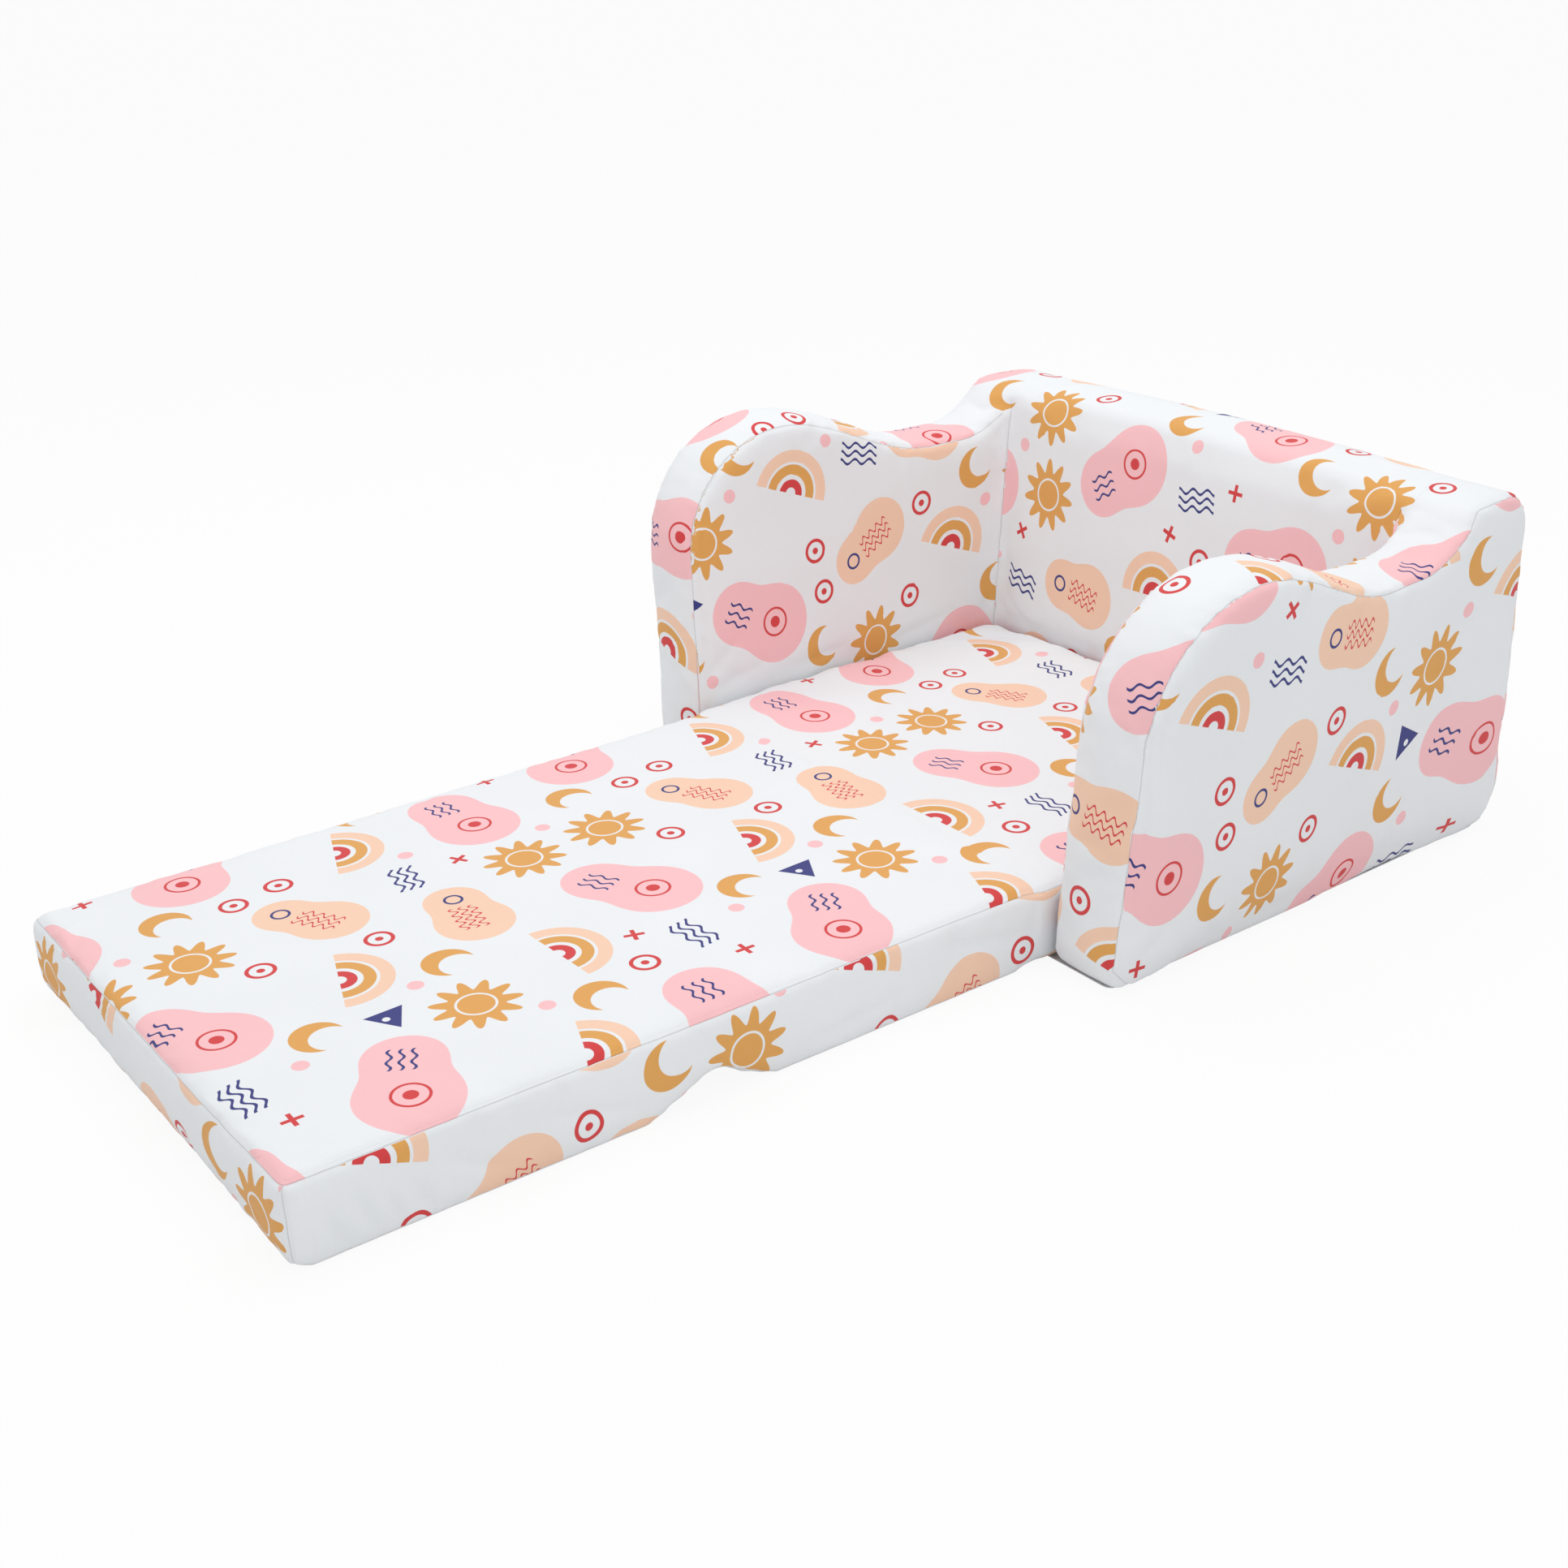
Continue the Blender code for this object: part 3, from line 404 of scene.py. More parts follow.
def profile_line():
    """From the foot of the arm's front over hump, dip and rise to the back, and down its rear."""
    dip, peak, hollow = 0.318, 0.375, 0.075
    top = (0.148, peak - 0.140)
    shin = np.array([(0.026, 0.0), (0.0, 0.026), (0.009, top[1])])
    hump = arc(top, np.array((0.139, 0.140)), 180, 90, 23)
    steep = math.degrees(math.acos(1 - (BACK_HEIGHT - dip) / (hollow + BROW)))
    foot = SEAT_DEPTH + BROW - (hollow + BROW) * math.sin(math.radians(steep))
    share = np.linspace(0, 1, 20)
    fall = peak + (dip - peak) * (1 - np.cos(np.pi * share)) / 2
    slope = np.column_stack((top[0] + (foot - 0.046 - top[0]) * share, fall))
    rise = arc((foot, dip + hollow), hollow, -90, steep - 90)
    brow = arc((SEAT_DEPTH + BROW, BACK_HEIGHT - BROW), BROW, 90 + steep, 90)
    line = np.vstack((shin, hump, slope, rise, brow, REAR_LINE))
    return line, len(line) - len(REAR_LINE) - 1


def backrest_line():
    """From the foot of the backrest up its face and over the brow, then as the profile."""
    brow = arc((SEAT_DEPTH + BROW, BACK_HEIGHT - BROW), BROW, 180, 90)
    return np.vstack(([(SEAT_DEPTH, 0.0)], brow, REAR_LINE)), len(brow)


def along_line(line, start, spots):
    """How far along a line each spot lies, counted from its point start, and how far off it."""
    run = np.diff(line, axis=0)
    length = np.linalg.norm(run, axis=1)
    begins = np.concatenate(([0.0], np.cumsum(length)))
    begins = begins[:-1] - begins[start]
    keep = length > 1e-9
    best = np.full(len(spots), 1e9)
    place = np.zeros(len(spots))
    for point, step, size, begin in zip(line[:-1][keep], run[keep], length[keep], begins[keep]):
        share = np.clip(((spots - point) @ step) / size**2, 0.0, 1.0)
        away = np.linalg.norm(spots - point - share[:, None] * step, axis=1)
        nearer = away < best
        best = np.where(nearer, away, best)
        place = np.where(nearer, begin + share * size, place)
    return place, best


print("profile points:", len(profile_line()[0]))

# %% [markdown]
# One skin covers both arms and the back, as the real cover does. Each point stores where it
# lay on the drawing, how far along the strip it is, and its signed distance to the seam.

# %% Surround
SEAM_INSET = 0.0075
BASE_HEIGHT = 0.003
LOW_REACH = 0.0015
SURROUND_VOXEL = 0.0083
SURROUND_NODES = [
    node for node in sorted(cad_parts) if node.startswith(("back", "left_", "right_"))
]
PANEL_BACKINGS = (
    ("backrest_panel", (0.0, 0.004, 0.0)),
    ("left_outer_panel", (0.003, 0.0, 0.0)),
    ("right_outer_panel", (-0.003, 0.0, 0.0)),
)
surround = skin_of("surround_cover", SURROUND_NODES, PANEL_BACKINGS, SURROUND_VOXEL)


def measure_surround(mesh):
    """Stores the pattern fields of the surround's skin."""
    drawn, x, y, z = drawing(mesh)
    spots = np.column_stack((y, z))
    strip, inset = along_line(*profile_line(), spots)
    rest, _ = along_line(*backrest_line(), spots)
    inside = x < INNER_HALF + 0.006
    corner = (INNER_HALF - x) - (SEAT_DEPTH - y)
    back = inside & (corner > -0.006) & (y > SEAT_DEPTH - 0.030)
    strip = np.where(back, rest, strip)
    to_seam = SEAM_INSET - inset
    shift = np.where(drawn[:, 0] > 0, 0.17, 0.0) + np.where(inside, 0.11, 0.0)
    in_corner = inside & (y > SEAT_DEPTH - 0.03) & (z < BACK_HEIGHT - 0.02)
    set_fields(
        mesh,
        cut_a=np.column_stack((y + shift, z + 0.7 * shift, 0 * z)),
        cut_b=np.column_stack((drawn[:, 0] + 0.13, strip + 0.21, 0 * z)),
        choice=np.where(inside, np.maximum(to_seam, corner), to_seam),
        seam=to_seam,
        no_seam=np.where(back | (z < 0.004), 1.0, 0.0),
        corner=corner,
        no_corner=np.where(in_corner, 0.0, 1.0),
        base=z - BASE_HEIGHT,
    )


measure_surround(surround.data)
drawn, across, deep, high = drawing(surround.data)
tucked = (across < INNER_HALF + 0.004) & (high < PAD_THICKNESS + 0.010)
zip_zone = (deep > SEAT_DEPTH + 0.08) & (np.abs(high - ZIP_HEIGHT) < 0.018)
pinned = (high < 0.004) | tucked | zip_zone
inner = (across < INNER_HALF + 0.006) & (deep < SEAT_DEPTH - 0.02)
upholster(surround, pinned, np.where(inner, LOW_REACH, 0.004), 0.0016)
seam = get_field(surround.data, "seam")
drawn, across, deep, high = drawing(surround.data)
depth = 0.0006 * ripple(drawn, 3, 0.14) * (high > 0.010)
roll = np.exp(-(((seam + 0.012) / 0.0024) ** 2)) * ease((high - 0.05) / 0.08)
depth += 0.0014 * roll * (deep < 0.05)
side = np.column_stack((deep, high))
inner = (across < INNER_HALF + 0.010) & (drawn[:, 0] < 0)
for start, end in (
    ((0.010, 0.100), (0.075, 0.150)),
    ((0.030, 0.094), (0.110, 0.112)),
    ((0.150, 0.096), (0.230, 0.104)),
    ((0.300, 0.094), (0.400, 0.110)),
):
    depth += 0.0018 * crease(side, start, end, 0.006) * inner
for start, end in (((0.020, 0.030), (0.075, 0.058)), ((0.180, 0.016), (0.290, 0.024))):
    depth += 0.0016 * crease(side, start, end, 0.007) * (across > SOFA_WIDTH / 2 - 0.02)
press(surround.data, depth)
set_down(surround.data, 0.0016)
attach(surround, "sofa")
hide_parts(*SURROUND_NODES)
print("surround:", len(surround.data.polygons), "faces")

# %% [markdown]
# The rear cover closes with a zip along its foot. The remesh let the cover run straight over
# it, so we cut the skin along the zip's edges, press in the strip between them, and let the
# folded edges beside it stand up a little, as a hem does.

# %% Zip opening in the surround
ZIP_FACE = FRONT_Y + SOFA_DEPTH - 0.004
ZIP_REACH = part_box("zip_tape_upper")[1][0]
ZIP_HALF = ZIP_HIGH - ZIP_HEIGHT
ZIP_DEPTH = 0.0040
HEM_RISE = 0.0006
HEM_HEIGHT = 0.020
HEM_END = 0.006
NEAR_REAR = 0.63


def cut_faces(work, faces, place, facing):
    """Cuts some of the faces with a plane."""
    parts = dict.fromkeys(item for face in faces for item in (*face.verts, *face.edges, face))
    return bmesh.ops.bisect_plane(work, geom=list(parts), plane_co=place, plane_no=facing)


def open_zip(mesh):
    """Cuts the skin round the zip and presses in the strip that its tapes cover."""
    work = bmesh.new()
    work.from_mesh(mesh)
    edges = [(side, by) for side in (-1, 1) for by in (-0.0004, 0.0004)]
    cuts = [((0.0, 0.0, ZIP_HEIGHT + side * ZIP_HALF + by), (0.0, 0.0, 1.0)) for side, by in edges]
    cuts += [((side * ZIP_REACH + by, 0.0, 0.0), (1.0, 0.0, 0.0)) for side, by in edges]
    for place, facing in cuts:
        near = []
        for face in work.faces:
            centre = face.calc_center_median()
            if centre.y > NEAR_REAR and abs(centre.z - ZIP_HEIGHT) < 2 * ZIP_HALF:
                near.append(face)
        cut_faces(work, near, place, facing)
    lined = work.verts.layers.float["base"]
    for vert in work.verts:
        x, y, z = vert.co
        away = abs(z - ZIP_HEIGHT) - ZIP_HALF
        past = abs(x) - ZIP_REACH
        if y < NEAR_REAR or away > HEM_HEIGHT or past > HEM_END:
            continue
        if away < 0 and past < 0:
            vert.co.y = ZIP_FACE - ZIP_DEPTH
            vert[lined] = -0.01
        else:
            near = max(0.0, 1 - max(away, 0.0) / HEM_HEIGHT)
            near *= max(0.0, 1 - max(past, 0.0) / HEM_END)
            vert.co.y = y + (ZIP_FACE + HEM_RISE - y) * ease(near)
    made = mesh_from(mesh.name, work)
    made.shade_smooth()
    return made


surround.data = open_zip(surround.data)
print("zip opening:", round(2 * ZIP_REACH, 3), "m wide")

# %% [markdown]
# The mattress is one long padded cover over three foam blocks. It is made in one go, so
# that its top runs on smoothly, and is then cut where the seat block ends: the seat stays
# with the sofa, and the rest folds. A V shaped notch underneath lets the rest fold again.

# %% Mattress
MATTRESS_NODES = [
    node for node in sorted(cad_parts) if node.startswith(("seat_", "middle_", "end_"))
]
mattress = skin_of("mattress", MATTRESS_NODES)
NOTCH_HEIGHT = 0.028
PAD_HALF = INNER_HALF - 0.0015


def measure_mattress(mesh):
    """Stores the pattern fields of the mattress's skin."""
    drawn, x, y, z = drawing(mesh, FRONT_Y)
    left, right, front, rear = -PAD_HALF, PAD_HALF, -PAD_LENGTH, SEAT_DEPTH
    rim = np.array([(left, rear), (left, front), (right, front), (right, rear)])
    round_rim, _ = along_line(rim, 1, np.column_stack((drawn[:, 0], y)))
    notch_ends = [-MIDDLE_LENGTH - 0.062, -MIDDLE_LENGTH, -MIDDLE_LENGTH + 0.056]
    notch = np.interp(y, notch_ends, [0.0, NOTCH_HEIGHT, 0.0])
    to_side = PAD_THICKNESS - z - SEAM_INSET
    at_corner = (y < -PAD_LENGTH + 0.03) & (x > PAD_HALF - 0.03) & (to_side > -0.001)
    outer = (x > PAD_HALF - 0.012) | (y < -PAD_LENGTH + 0.010)
    set_fields(
        mesh,
        cut_a=np.column_stack((drawn[:, 0], y, 0 * z)),
        cut_b=np.column_stack((round_rim + 0.09, z + 0.30, 0 * z)),
        choice=to_side,
        base=z - notch - BASE_HEIGHT,
        seam=to_side,
        no_seam=np.where(outer, 0.0, 1.0),
        corner=(PAD_HALF - x) - (y + PAD_LENGTH),
        no_corner=np.where(at_corner, 0.0, 1.0),
    )


measure_mattress(mattress.data)
drawn, across, deep, high = drawing(mattress.data, FRONT_Y)
in_notch = (np.abs(deep + MIDDLE_LENGTH) < 0.065) & (high < NOTCH_HEIGHT + 0.004)
between_arms = (deep > 0.002) & (across > INNER_HALF - 0.006)
pinned = (high < 0.004) | in_notch | between_arms | (deep > SEAT_DEPTH - 0.006)
reach = np.where(across > PAD_HALF - 0.006, LOW_REACH, 0.0032)
upholster(mattress, pinned, reach, 0.0014)
seam = get_field(mattress.data, "seam")
drawn, across, deep, high = drawing(mattress.data, FRONT_Y)
depth = 0.0007 * ripple(drawn, 7, 0.15) * (high > 0.010)
on_end = (deep < 0.004 - PAD_LENGTH) & (across < PAD_HALF - 0.03)
welt = np.exp(-(((seam - 0.008) / 0.0022) ** 2)) * on_end
depth += 0.0007 * welt * ease((0.2 - drawn[:, 0]) / 0.1)
side = np.column_stack((deep, high))
for start, end, deepest in (
    ((-0.694, 0.004), (-0.706, 0.044), 0.0044),
    ((-0.668, 0.004), (-0.682, 0.054), 0.0048),
    ((-0.646, 0.004), (-0.656, 0.042), 0.0044),
    ((-0.622, 0.010), (-0.634, 0.038), 0.0036),
    ((-0.610, 0.050), (-0.550, 0.018), 0.0030),
    ((-0.520, 0.050), (-0.430, 0.024), 0.0030),
    ((-0.270, 0.018), (-0.150, 0.030), 0.0030),
    ((-0.120, 0.060), (-0.020, 0.040), 0.0030),
):
    beside = (across > PAD_HALF - 0.012) * ease(high / 0.016)
    depth += deepest * crease(side, start, end, 0.006) * beside
face = np.column_stack((drawn[:, 0], high))
for start, end in (((0.150, 0.018), (0.262, 0.040)), ((-0.255, 0.052), (-0.170, 0.022))):
    depth += 0.0014 * crease(face, start, end, 0.007) * (deep < 0.012 - PAD_LENGTH)
press(mattress.data, depth)
set_down(mattress.data, 0.0012)
SEAT_RISE = 0.006
beside_arm = np.exp(-(((PAD_HALF - across) / 0.030) ** 2)) * ease(deep / 0.16)
at_back = np.exp(-(((SEAT_DEPTH - deep) / 0.028) ** 2))
lift = np.maximum(beside_arm, at_back) * (1 + 0.5 * ripple(drawn, 5, 0.045))
lift = SEAT_RISE * lift * ease((high - 0.055) / 0.02) * (deep > 0)
put_points(mattress.data, points_of(mattress.data) + np.outer(lift, (0.0, 0.0, 1.0)))


CAP_STEP = 0.007


def cut_off(mesh, keep_front):
    """Keeps one side of the sofa's front plane, and closes the cut with a grid of small faces."""
    work = bmesh.new()
    work.from_mesh(mesh)
    cap = work.faces.layers.float.new("cap")
    gap = 0.00002 if keep_front else -0.00002
    cut = bmesh.ops.bisect_plane(
        work,
        geom=work.verts[:] + work.edges[:] + work.faces[:],
        plane_co=(0.0, FRONT_Y - gap, 0.0),
        plane_no=(0.0, 1.0, 0.0) if keep_front else (0.0, -1.0, 0.0),
        clear_outer=True,
    )
    edges = [item for item in cut["geom_cut"] if isinstance(item, bmesh.types.BMEdge)]
    sealed = bmesh.ops.holes_fill(work, edges=edges, sides=0)["faces"]
    for edge in edges:
        edge.smooth = False
    for face in sealed:
        face[cap] = 1.0
    for axis, facing in ((0, (1.0, 0.0, 0.0)), (2, (0.0, 0.0, 1.0))):
        spots = [vert.co[axis] for face in sealed for vert in face.verts]
        for step in range(1, int((max(spots) - min(spots)) / CAP_STEP) + 1):
            place = [value * (min(spots) + step * CAP_STEP - 0.001) for value in facing]
            made = cut_faces(work, sealed, place, facing)
            sealed = [item for item in made["geom"] if isinstance(item, bmesh.types.BMFace)]
    bmesh.ops.recalc_face_normals(work, faces=work.faces)
    return mesh_from(mesh.name, work)


whole = mattress.data
extension = new_piece("folding_mattress", cut_off(whole, True))
seat = new_piece("seat_pad", cut_off(whole, False))
extension.data.name, seat.data.name = "folding_mattress", "seat_pad"
bpy.data.objects.remove(mattress)
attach(seat, "sofa")
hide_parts(*[node for node in MATTRESS_NODES if node.startswith("seat_")])
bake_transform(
    extension,
    "middle_panel",
    "end_panel",
    start=(0.0, FRONT_Y - MIDDLE_LENGTH + 0.060, 0.0),
    end=(0.0, FRONT_Y - MIDDLE_LENGTH - 0.060, 0.0),
)
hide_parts(*[node for node in MATTRESS_NODES if not node.startswith("seat_")])
print("mattress:", len(seat.data.polygons), "and", len(extension.data.polygons), "faces")

# %% [markdown]
# The cloth is a smooth brushed polyester with a screen print in pink, peach, ochre, red and
# navy on white. The print here is our own: pebbles, beans, hills, suns, waves, moons, tents,
# rings, crosses and spots. They are strewn by throwing darts at a repeat of just under half
# a metre: a motif that would touch another, also across the repeat's edge, is thrown again.
# The dice have a fixed seed.

# %% Strewing the motifs
REPEAT = (0.460, 0.420)
MOTIF_GAP = 0.007
# For each kind of motif: how far it reaches from its centre, and how many a repeat holds.
MOTIF_TABLE = {
    "pebble": (0.070, 3),
    "bean": (0.056, 2),
    "hill": (0.050, 3),
    "sun": (0.042, 4),
    "waves": (0.032, 6),
    "moon": (0.026, 4),
    "wedge": (0.022, 5),
    "rings": (0.017, 7),
    "cross": (0.013, 8),
    "spot": (0.010, 5),
}
MOTIF_KINDS = list(MOTIF_TABLE)


def strew():
    """Places for all motifs in one repeat: kind, centre and angle."""
    dice = random.Random(11)
    placed = []
    for kind, (reach, count) in MOTIF_TABLE.items():
        found = tries = 0
        while found < count and tries < 6000:
            tries += 1
            spot = (dice.uniform(0, REPEAT[0]), dice.uniform(0, REPEAT[1]))
            clear = True
            for other, centre, _ in placed:
                dx = abs(spot[0] - centre[0])
                dy = abs(spot[1] - centre[1])
                away = math.hypot(min(dx, REPEAT[0] - dx), min(dy, REPEAT[1] - dy))
                clear = clear and away > reach + MOTIF_TABLE[other][0] + MOTIF_GAP
            if clear:
                placed.append((kind, spot, dice.uniform(-0.6, 0.6)))
                found += 1
    return placed


MOTIFS = strew()
print("motifs in a repeat:", len(MOTIFS))

# %% [markdown]
# Each small face of a skin belongs to the motif that lies nearest to it. It stores that
# motif's kind, centre and angle, so that the material draws one motif only, and stays fast.

# %% Which motif a face belongs to
def lay_print(mesh):
    """Stores on every face the motif that it shows."""
    starts = np.empty(len(mesh.polygons), int)
    mesh.polygons.foreach_get("loop_start", starts)
    corners = np.empty(len(mesh.loops), int)
    mesh.loops.foreach_get("vertex_index", corners)
    sizes = np.diff(np.append(starts, len(corners)))
    side = np.add.reduceat(get_field(mesh, "choice")[corners], starts)

    def middles(values):
        return np.add.reduceat(values, starts, axis=0) / sizes[:, None]

    centres = [middles(get_field(mesh, name)[corners]) for name in ("cut_a", "cut_b")]
    place = np.where((side > 0)[:, None], centres[1], centres[0])[:, :2]
    if "cap" in mesh.attributes:
        cap = np.empty(len(starts), np.float32)
        mesh.attributes["cap"].data.foreach_get("value", cap)
        spots = points_of(mesh)[corners]
        turn = 1 if mesh.name.startswith("seat") else -1
        x, z = spots[:, 0] + 0.09 * turn, turn * spots[:, 2] + 0.20
        flat = np.column_stack((x, z, 0 * z))
        place = np.where((cap > 0.5)[:, None], middles(flat)[:, :2], place)
        field = mesh.attributes.new("cap_place", "FLOAT_VECTOR", "CORNER")
        field.data.foreach_set("vector", flat.astype(np.float32).ravel())
    best = np.full(len(place), 1e9)
    motif = np.zeros((len(place), 3))
    kinds = np.zeros(len(place))
    for kind, centre, angle in MOTIFS:
        home = np.round((place - centre) / REPEAT) * REPEAT + centre
        away = np.linalg.norm(place - home, axis=1) - MOTIF_TABLE[kind][0]
        nearer = away < best
        best = np.where(nearer, away, best)
        motif[nearer] = np.column_stack((home, np.full(len(home), angle)))[nearer]
        kinds[nearer] = MOTIF_KINDS.index(kind)
    set_fields(mesh, "FACE", motif=motif, kind=kinds)


for piece in (surround, seat, extension):
    lay_print(piece.data)
    print(piece.name, "print laid on", len(piece.data.polygons), "faces")

# %% [markdown]
# The motifs' outlines are distances worked out by math nodes: below zero is ink. A few
# short helpers keep the node code readable.

# %% Node helpers
def plug(tree, value, socket):
    """Sets a socket to a number or colour, or links it to another socket."""
    if isinstance(value, bpy.types.NodeSocket):
        tree.links.new(value, socket)
    else:
        socket.default_value = value


def node(tree, kind, *values, **settings):
    """A new node with some of its settings, and with values for its first inputs."""
    made = tree.nodes.new(kind)
    for key, value in settings.items():
        setattr(made, key, value)
    for value, socket in zip(values, made.inputs):
        plug(tree, value, socket)
    return made


def calc(tree, operation, *values):
    """A math node."""
    return node(tree, "ShaderNodeMath", *values, operation=operation).outputs[0]


def minus(tree, first, second):
    """A difference."""
    return calc(tree, "SUBTRACT", first, second)


def times(tree, first, second):
    """A product."""
    return calc(tree, "MULTIPLY", first, second)


def scaled(tree, value, factor, extra):
    """A value times a factor, plus an extra."""
    return calc(tree, "MULTIPLY_ADD", value, factor, extra)


def vector(tree, operation, *values):
    """A vector math node. Its output is a number for LENGTH and DISTANCE."""
    made = node(tree, "ShaderNodeVectorMath", *values, operation=operation)
    return made.outputs["Value" if operation in ("LENGTH", "DISTANCE") else "Vector"]


def mix(tree, kind, share, first, second):
    """A colour (kind RGBA) or a vector (kind VECTOR) between two others."""
    made = node(tree, "ShaderNodeMix", share, data_type=kind)
    start, out = (6, 2) if kind == "RGBA" else (4, 1)
    plug(tree, first, made.inputs[start])
    plug(tree, second, made.inputs[start + 1])
    return made.outputs[out]


def field_socket(tree, name, vector_field=False):
    """Reads a field that was stored on the mesh."""
    made = node(tree, "ShaderNodeAttribute", attribute_name=name)
    return made.outputs["Vector" if vector_field else "Fac"]


def split(tree, value):
    """The three numbers of a vector."""
    return node(tree, "ShaderNodeSeparateXYZ", value).outputs


def linear(red, green, blue):
    """A colour of the screen as Blender's linear values."""
    parts = [value / 255 for value in (red, green, blue)]
    return (*[v / 12.92 if v <= 0.04045 else ((v + 0.055) / 1.055) ** 2.4 for v in parts], 1.0)


def set_inputs(made, values):
    """Sets a node's inputs by their names."""
    for name, value in values.items():
        made.inputs[name].default_value = value


def inked(tree, distance):
    """1 where a distance is below zero, with a soft thin edge."""
    step = node(tree, "ShaderNodeMapRange", distance, interpolation_type="SMOOTHSTEP")
    set_inputs(step, {"From Min": 0.0004, "From Max": -0.0004})
    return step.outputs["Result"]


# %% Motif shapes
def spot(tree, axes, centre, radius):
    """Distance to a round spot."""
    return minus(tree, vector(tree, "DISTANCE", axes["place"], (*centre, 0.0)), radius)


def band(tree, length, radius, width):
    """Distance to a ring, from the distance to its centre."""
    away = calc(tree, "ABSOLUTE", minus(tree, length, radius))
    return minus(tree, away, width / 2)


def pebble(tree, axes, size):
    """Distance to a rounded pebble, wider at one end."""
    first = spot(tree, axes, (-0.26 * size, 0.0), 0.30 * size)
    second = spot(tree, axes, (0.20 * size, 0.05 * size), 0.38 * size)
    return calc(tree, "SMOOTH_MIN", first, second, 0.30 * size)


def rays(tree, axes, radius, count, share):
    """Distance to a wheel of blunt rays round a centre."""
    angle = calc(tree, "ARCTAN2", axes["y"], axes["x"])
    wave = calc(tree, "COSINE", times(tree, angle, float(count)))
    reach = scaled(tree, wave, radius * share / 2, radius * (1 - share / 2))
    return minus(tree, axes["length"], reach)


def dashes(tree, axes, centre, length, width, step, swing, waves):
    """Distance to three dashes, one above the other, that swing up and down along their length."""
    x = minus(tree, axes["x"], centre[0])
    y = minus(tree, axes["y"], centre[1])
    row = calc(tree, "ROUND", times(tree, y, 1 / step))
    row = calc(tree, "MINIMUM", calc(tree, "MAXIMUM", row, -1), 1)
    y = scaled(tree, row, -step, y)
    bend = calc(tree, "SINE", times(tree, x, 2 * math.pi * waves / length))
    y = calc(tree, "ABSOLUTE", scaled(tree, bend, swing, y))
    end = minus(tree, calc(tree, "ABSOLUTE", x), length / 2)
    return calc(tree, "MAXIMUM", minus(tree, y, width / 2), end)


def cross(tree, axes, reach, width):
    """Distance to a plus sign."""
    x = calc(tree, "ABSOLUTE", axes["x"])
    y = calc(tree, "ABSOLUTE", axes["y"])
    long = minus(tree, calc(tree, "MAXIMUM", x, y), reach)
    thin = minus(tree, calc(tree, "MINIMUM", x, y), width / 2)
    return calc(tree, "MAXIMUM", long, thin)


def wedge(tree, axes, size):
    """Distance to a small pointed tent."""
    side = times(tree, calc(tree, "ABSOLUTE", axes["x"]), 0.86)
    slope = scaled(tree, axes["y"], 0.5, side)
    slope = minus(tree, slope, size * 0.42)
    foot = scaled(tree, axes["y"], -1.0, -size * 0.42)
    return calc(tree, "MAXIMUM", slope, foot)


# %% [markdown]
# One material serves every printed piece. It picks the panel's own place, turns it to the
# motif's axes, and lays the inks over each other as a screen printer would.

# %% Inks of the print
WHITE = linear(237, 240, 243)
PINK = linear(250, 196, 200)
PEACH = linear(247, 208, 182)
OCHRE = linear(226, 166, 90)
RED = linear(214, 66, 68)
NAVY = linear(58, 62, 128)
LINING = linear(226, 226, 228)


def motif_layers(tree, axes):
    """The layers of every kind of motif: kind, distance and ink."""
    length = axes["length"]
    upright = times(tree, axes["y"], -1.0)
    eye = vector(tree, "DISTANCE", axes["place"], (0.022, 0.007, 0.0))
    bud = vector(tree, "DISTANCE", axes["place"], (-0.029, 0.0, 0.0))
    bite = times(tree, spot(tree, axes, (0.010, 0.006), 0.0185), -1.0)
    ticks = dashes(tree, axes, (-0.030, -0.002), 0.032, 0.0026, 0.010, 0.0020, 2.0)
    zigzags = dashes(tree, axes, (0.010, 0.002), 0.044, 0.0024, 0.009, 0.0034, 4.0)
    swell = dashes(tree, axes, (0.0, 0.0), 0.050, 0.0030, 0.009, 0.0028, 2.5)
    layers = [
        ("pebble", pebble(tree, axes, 0.118), PINK),
        ("pebble", ticks, NAVY),
        ("pebble", band(tree, eye, 0.0155, 0.0026), RED),
        ("pebble", minus(tree, eye, 0.0065), RED),
        ("bean", pebble(tree, axes, 0.096), PEACH),
        ("bean", zigzags, RED),
        ("bean", band(tree, bud, 0.008, 0.0026), NAVY),
    ]
    for radius, width, ink in ((0.041, 0.013, PEACH), (0.026, 0.011, OCHRE), (0.011, 0.009, RED)):
        arch = calc(tree, "MAXIMUM", band(tree, length, radius, width), upright)
        layers.append(("hill", arch, ink))
    return layers + [
        ("sun", rays(tree, axes, 0.040, 11, 0.38), OCHRE),
        ("sun", band(tree, length, 0.017, 0.0022), WHITE),
        ("waves", swell, NAVY),
        ("moon", calc(tree, "MAXIMUM", minus(tree, length, 0.0235), bite), OCHRE),
        ("wedge", wedge(tree, axes, 0.025), NAVY),
        ("wedge", spot(tree, axes, (0.0, -0.004), 0.0034), WHITE),
        ("rings", band(tree, length, 0.0120, 0.0038), RED),
        ("rings", minus(tree, length, 0.0038), RED),
        ("cross", cross(tree, axes, 0.0095, 0.0042), RED),
        ("spot", minus(tree, length, 0.0075), PINK),
    ]


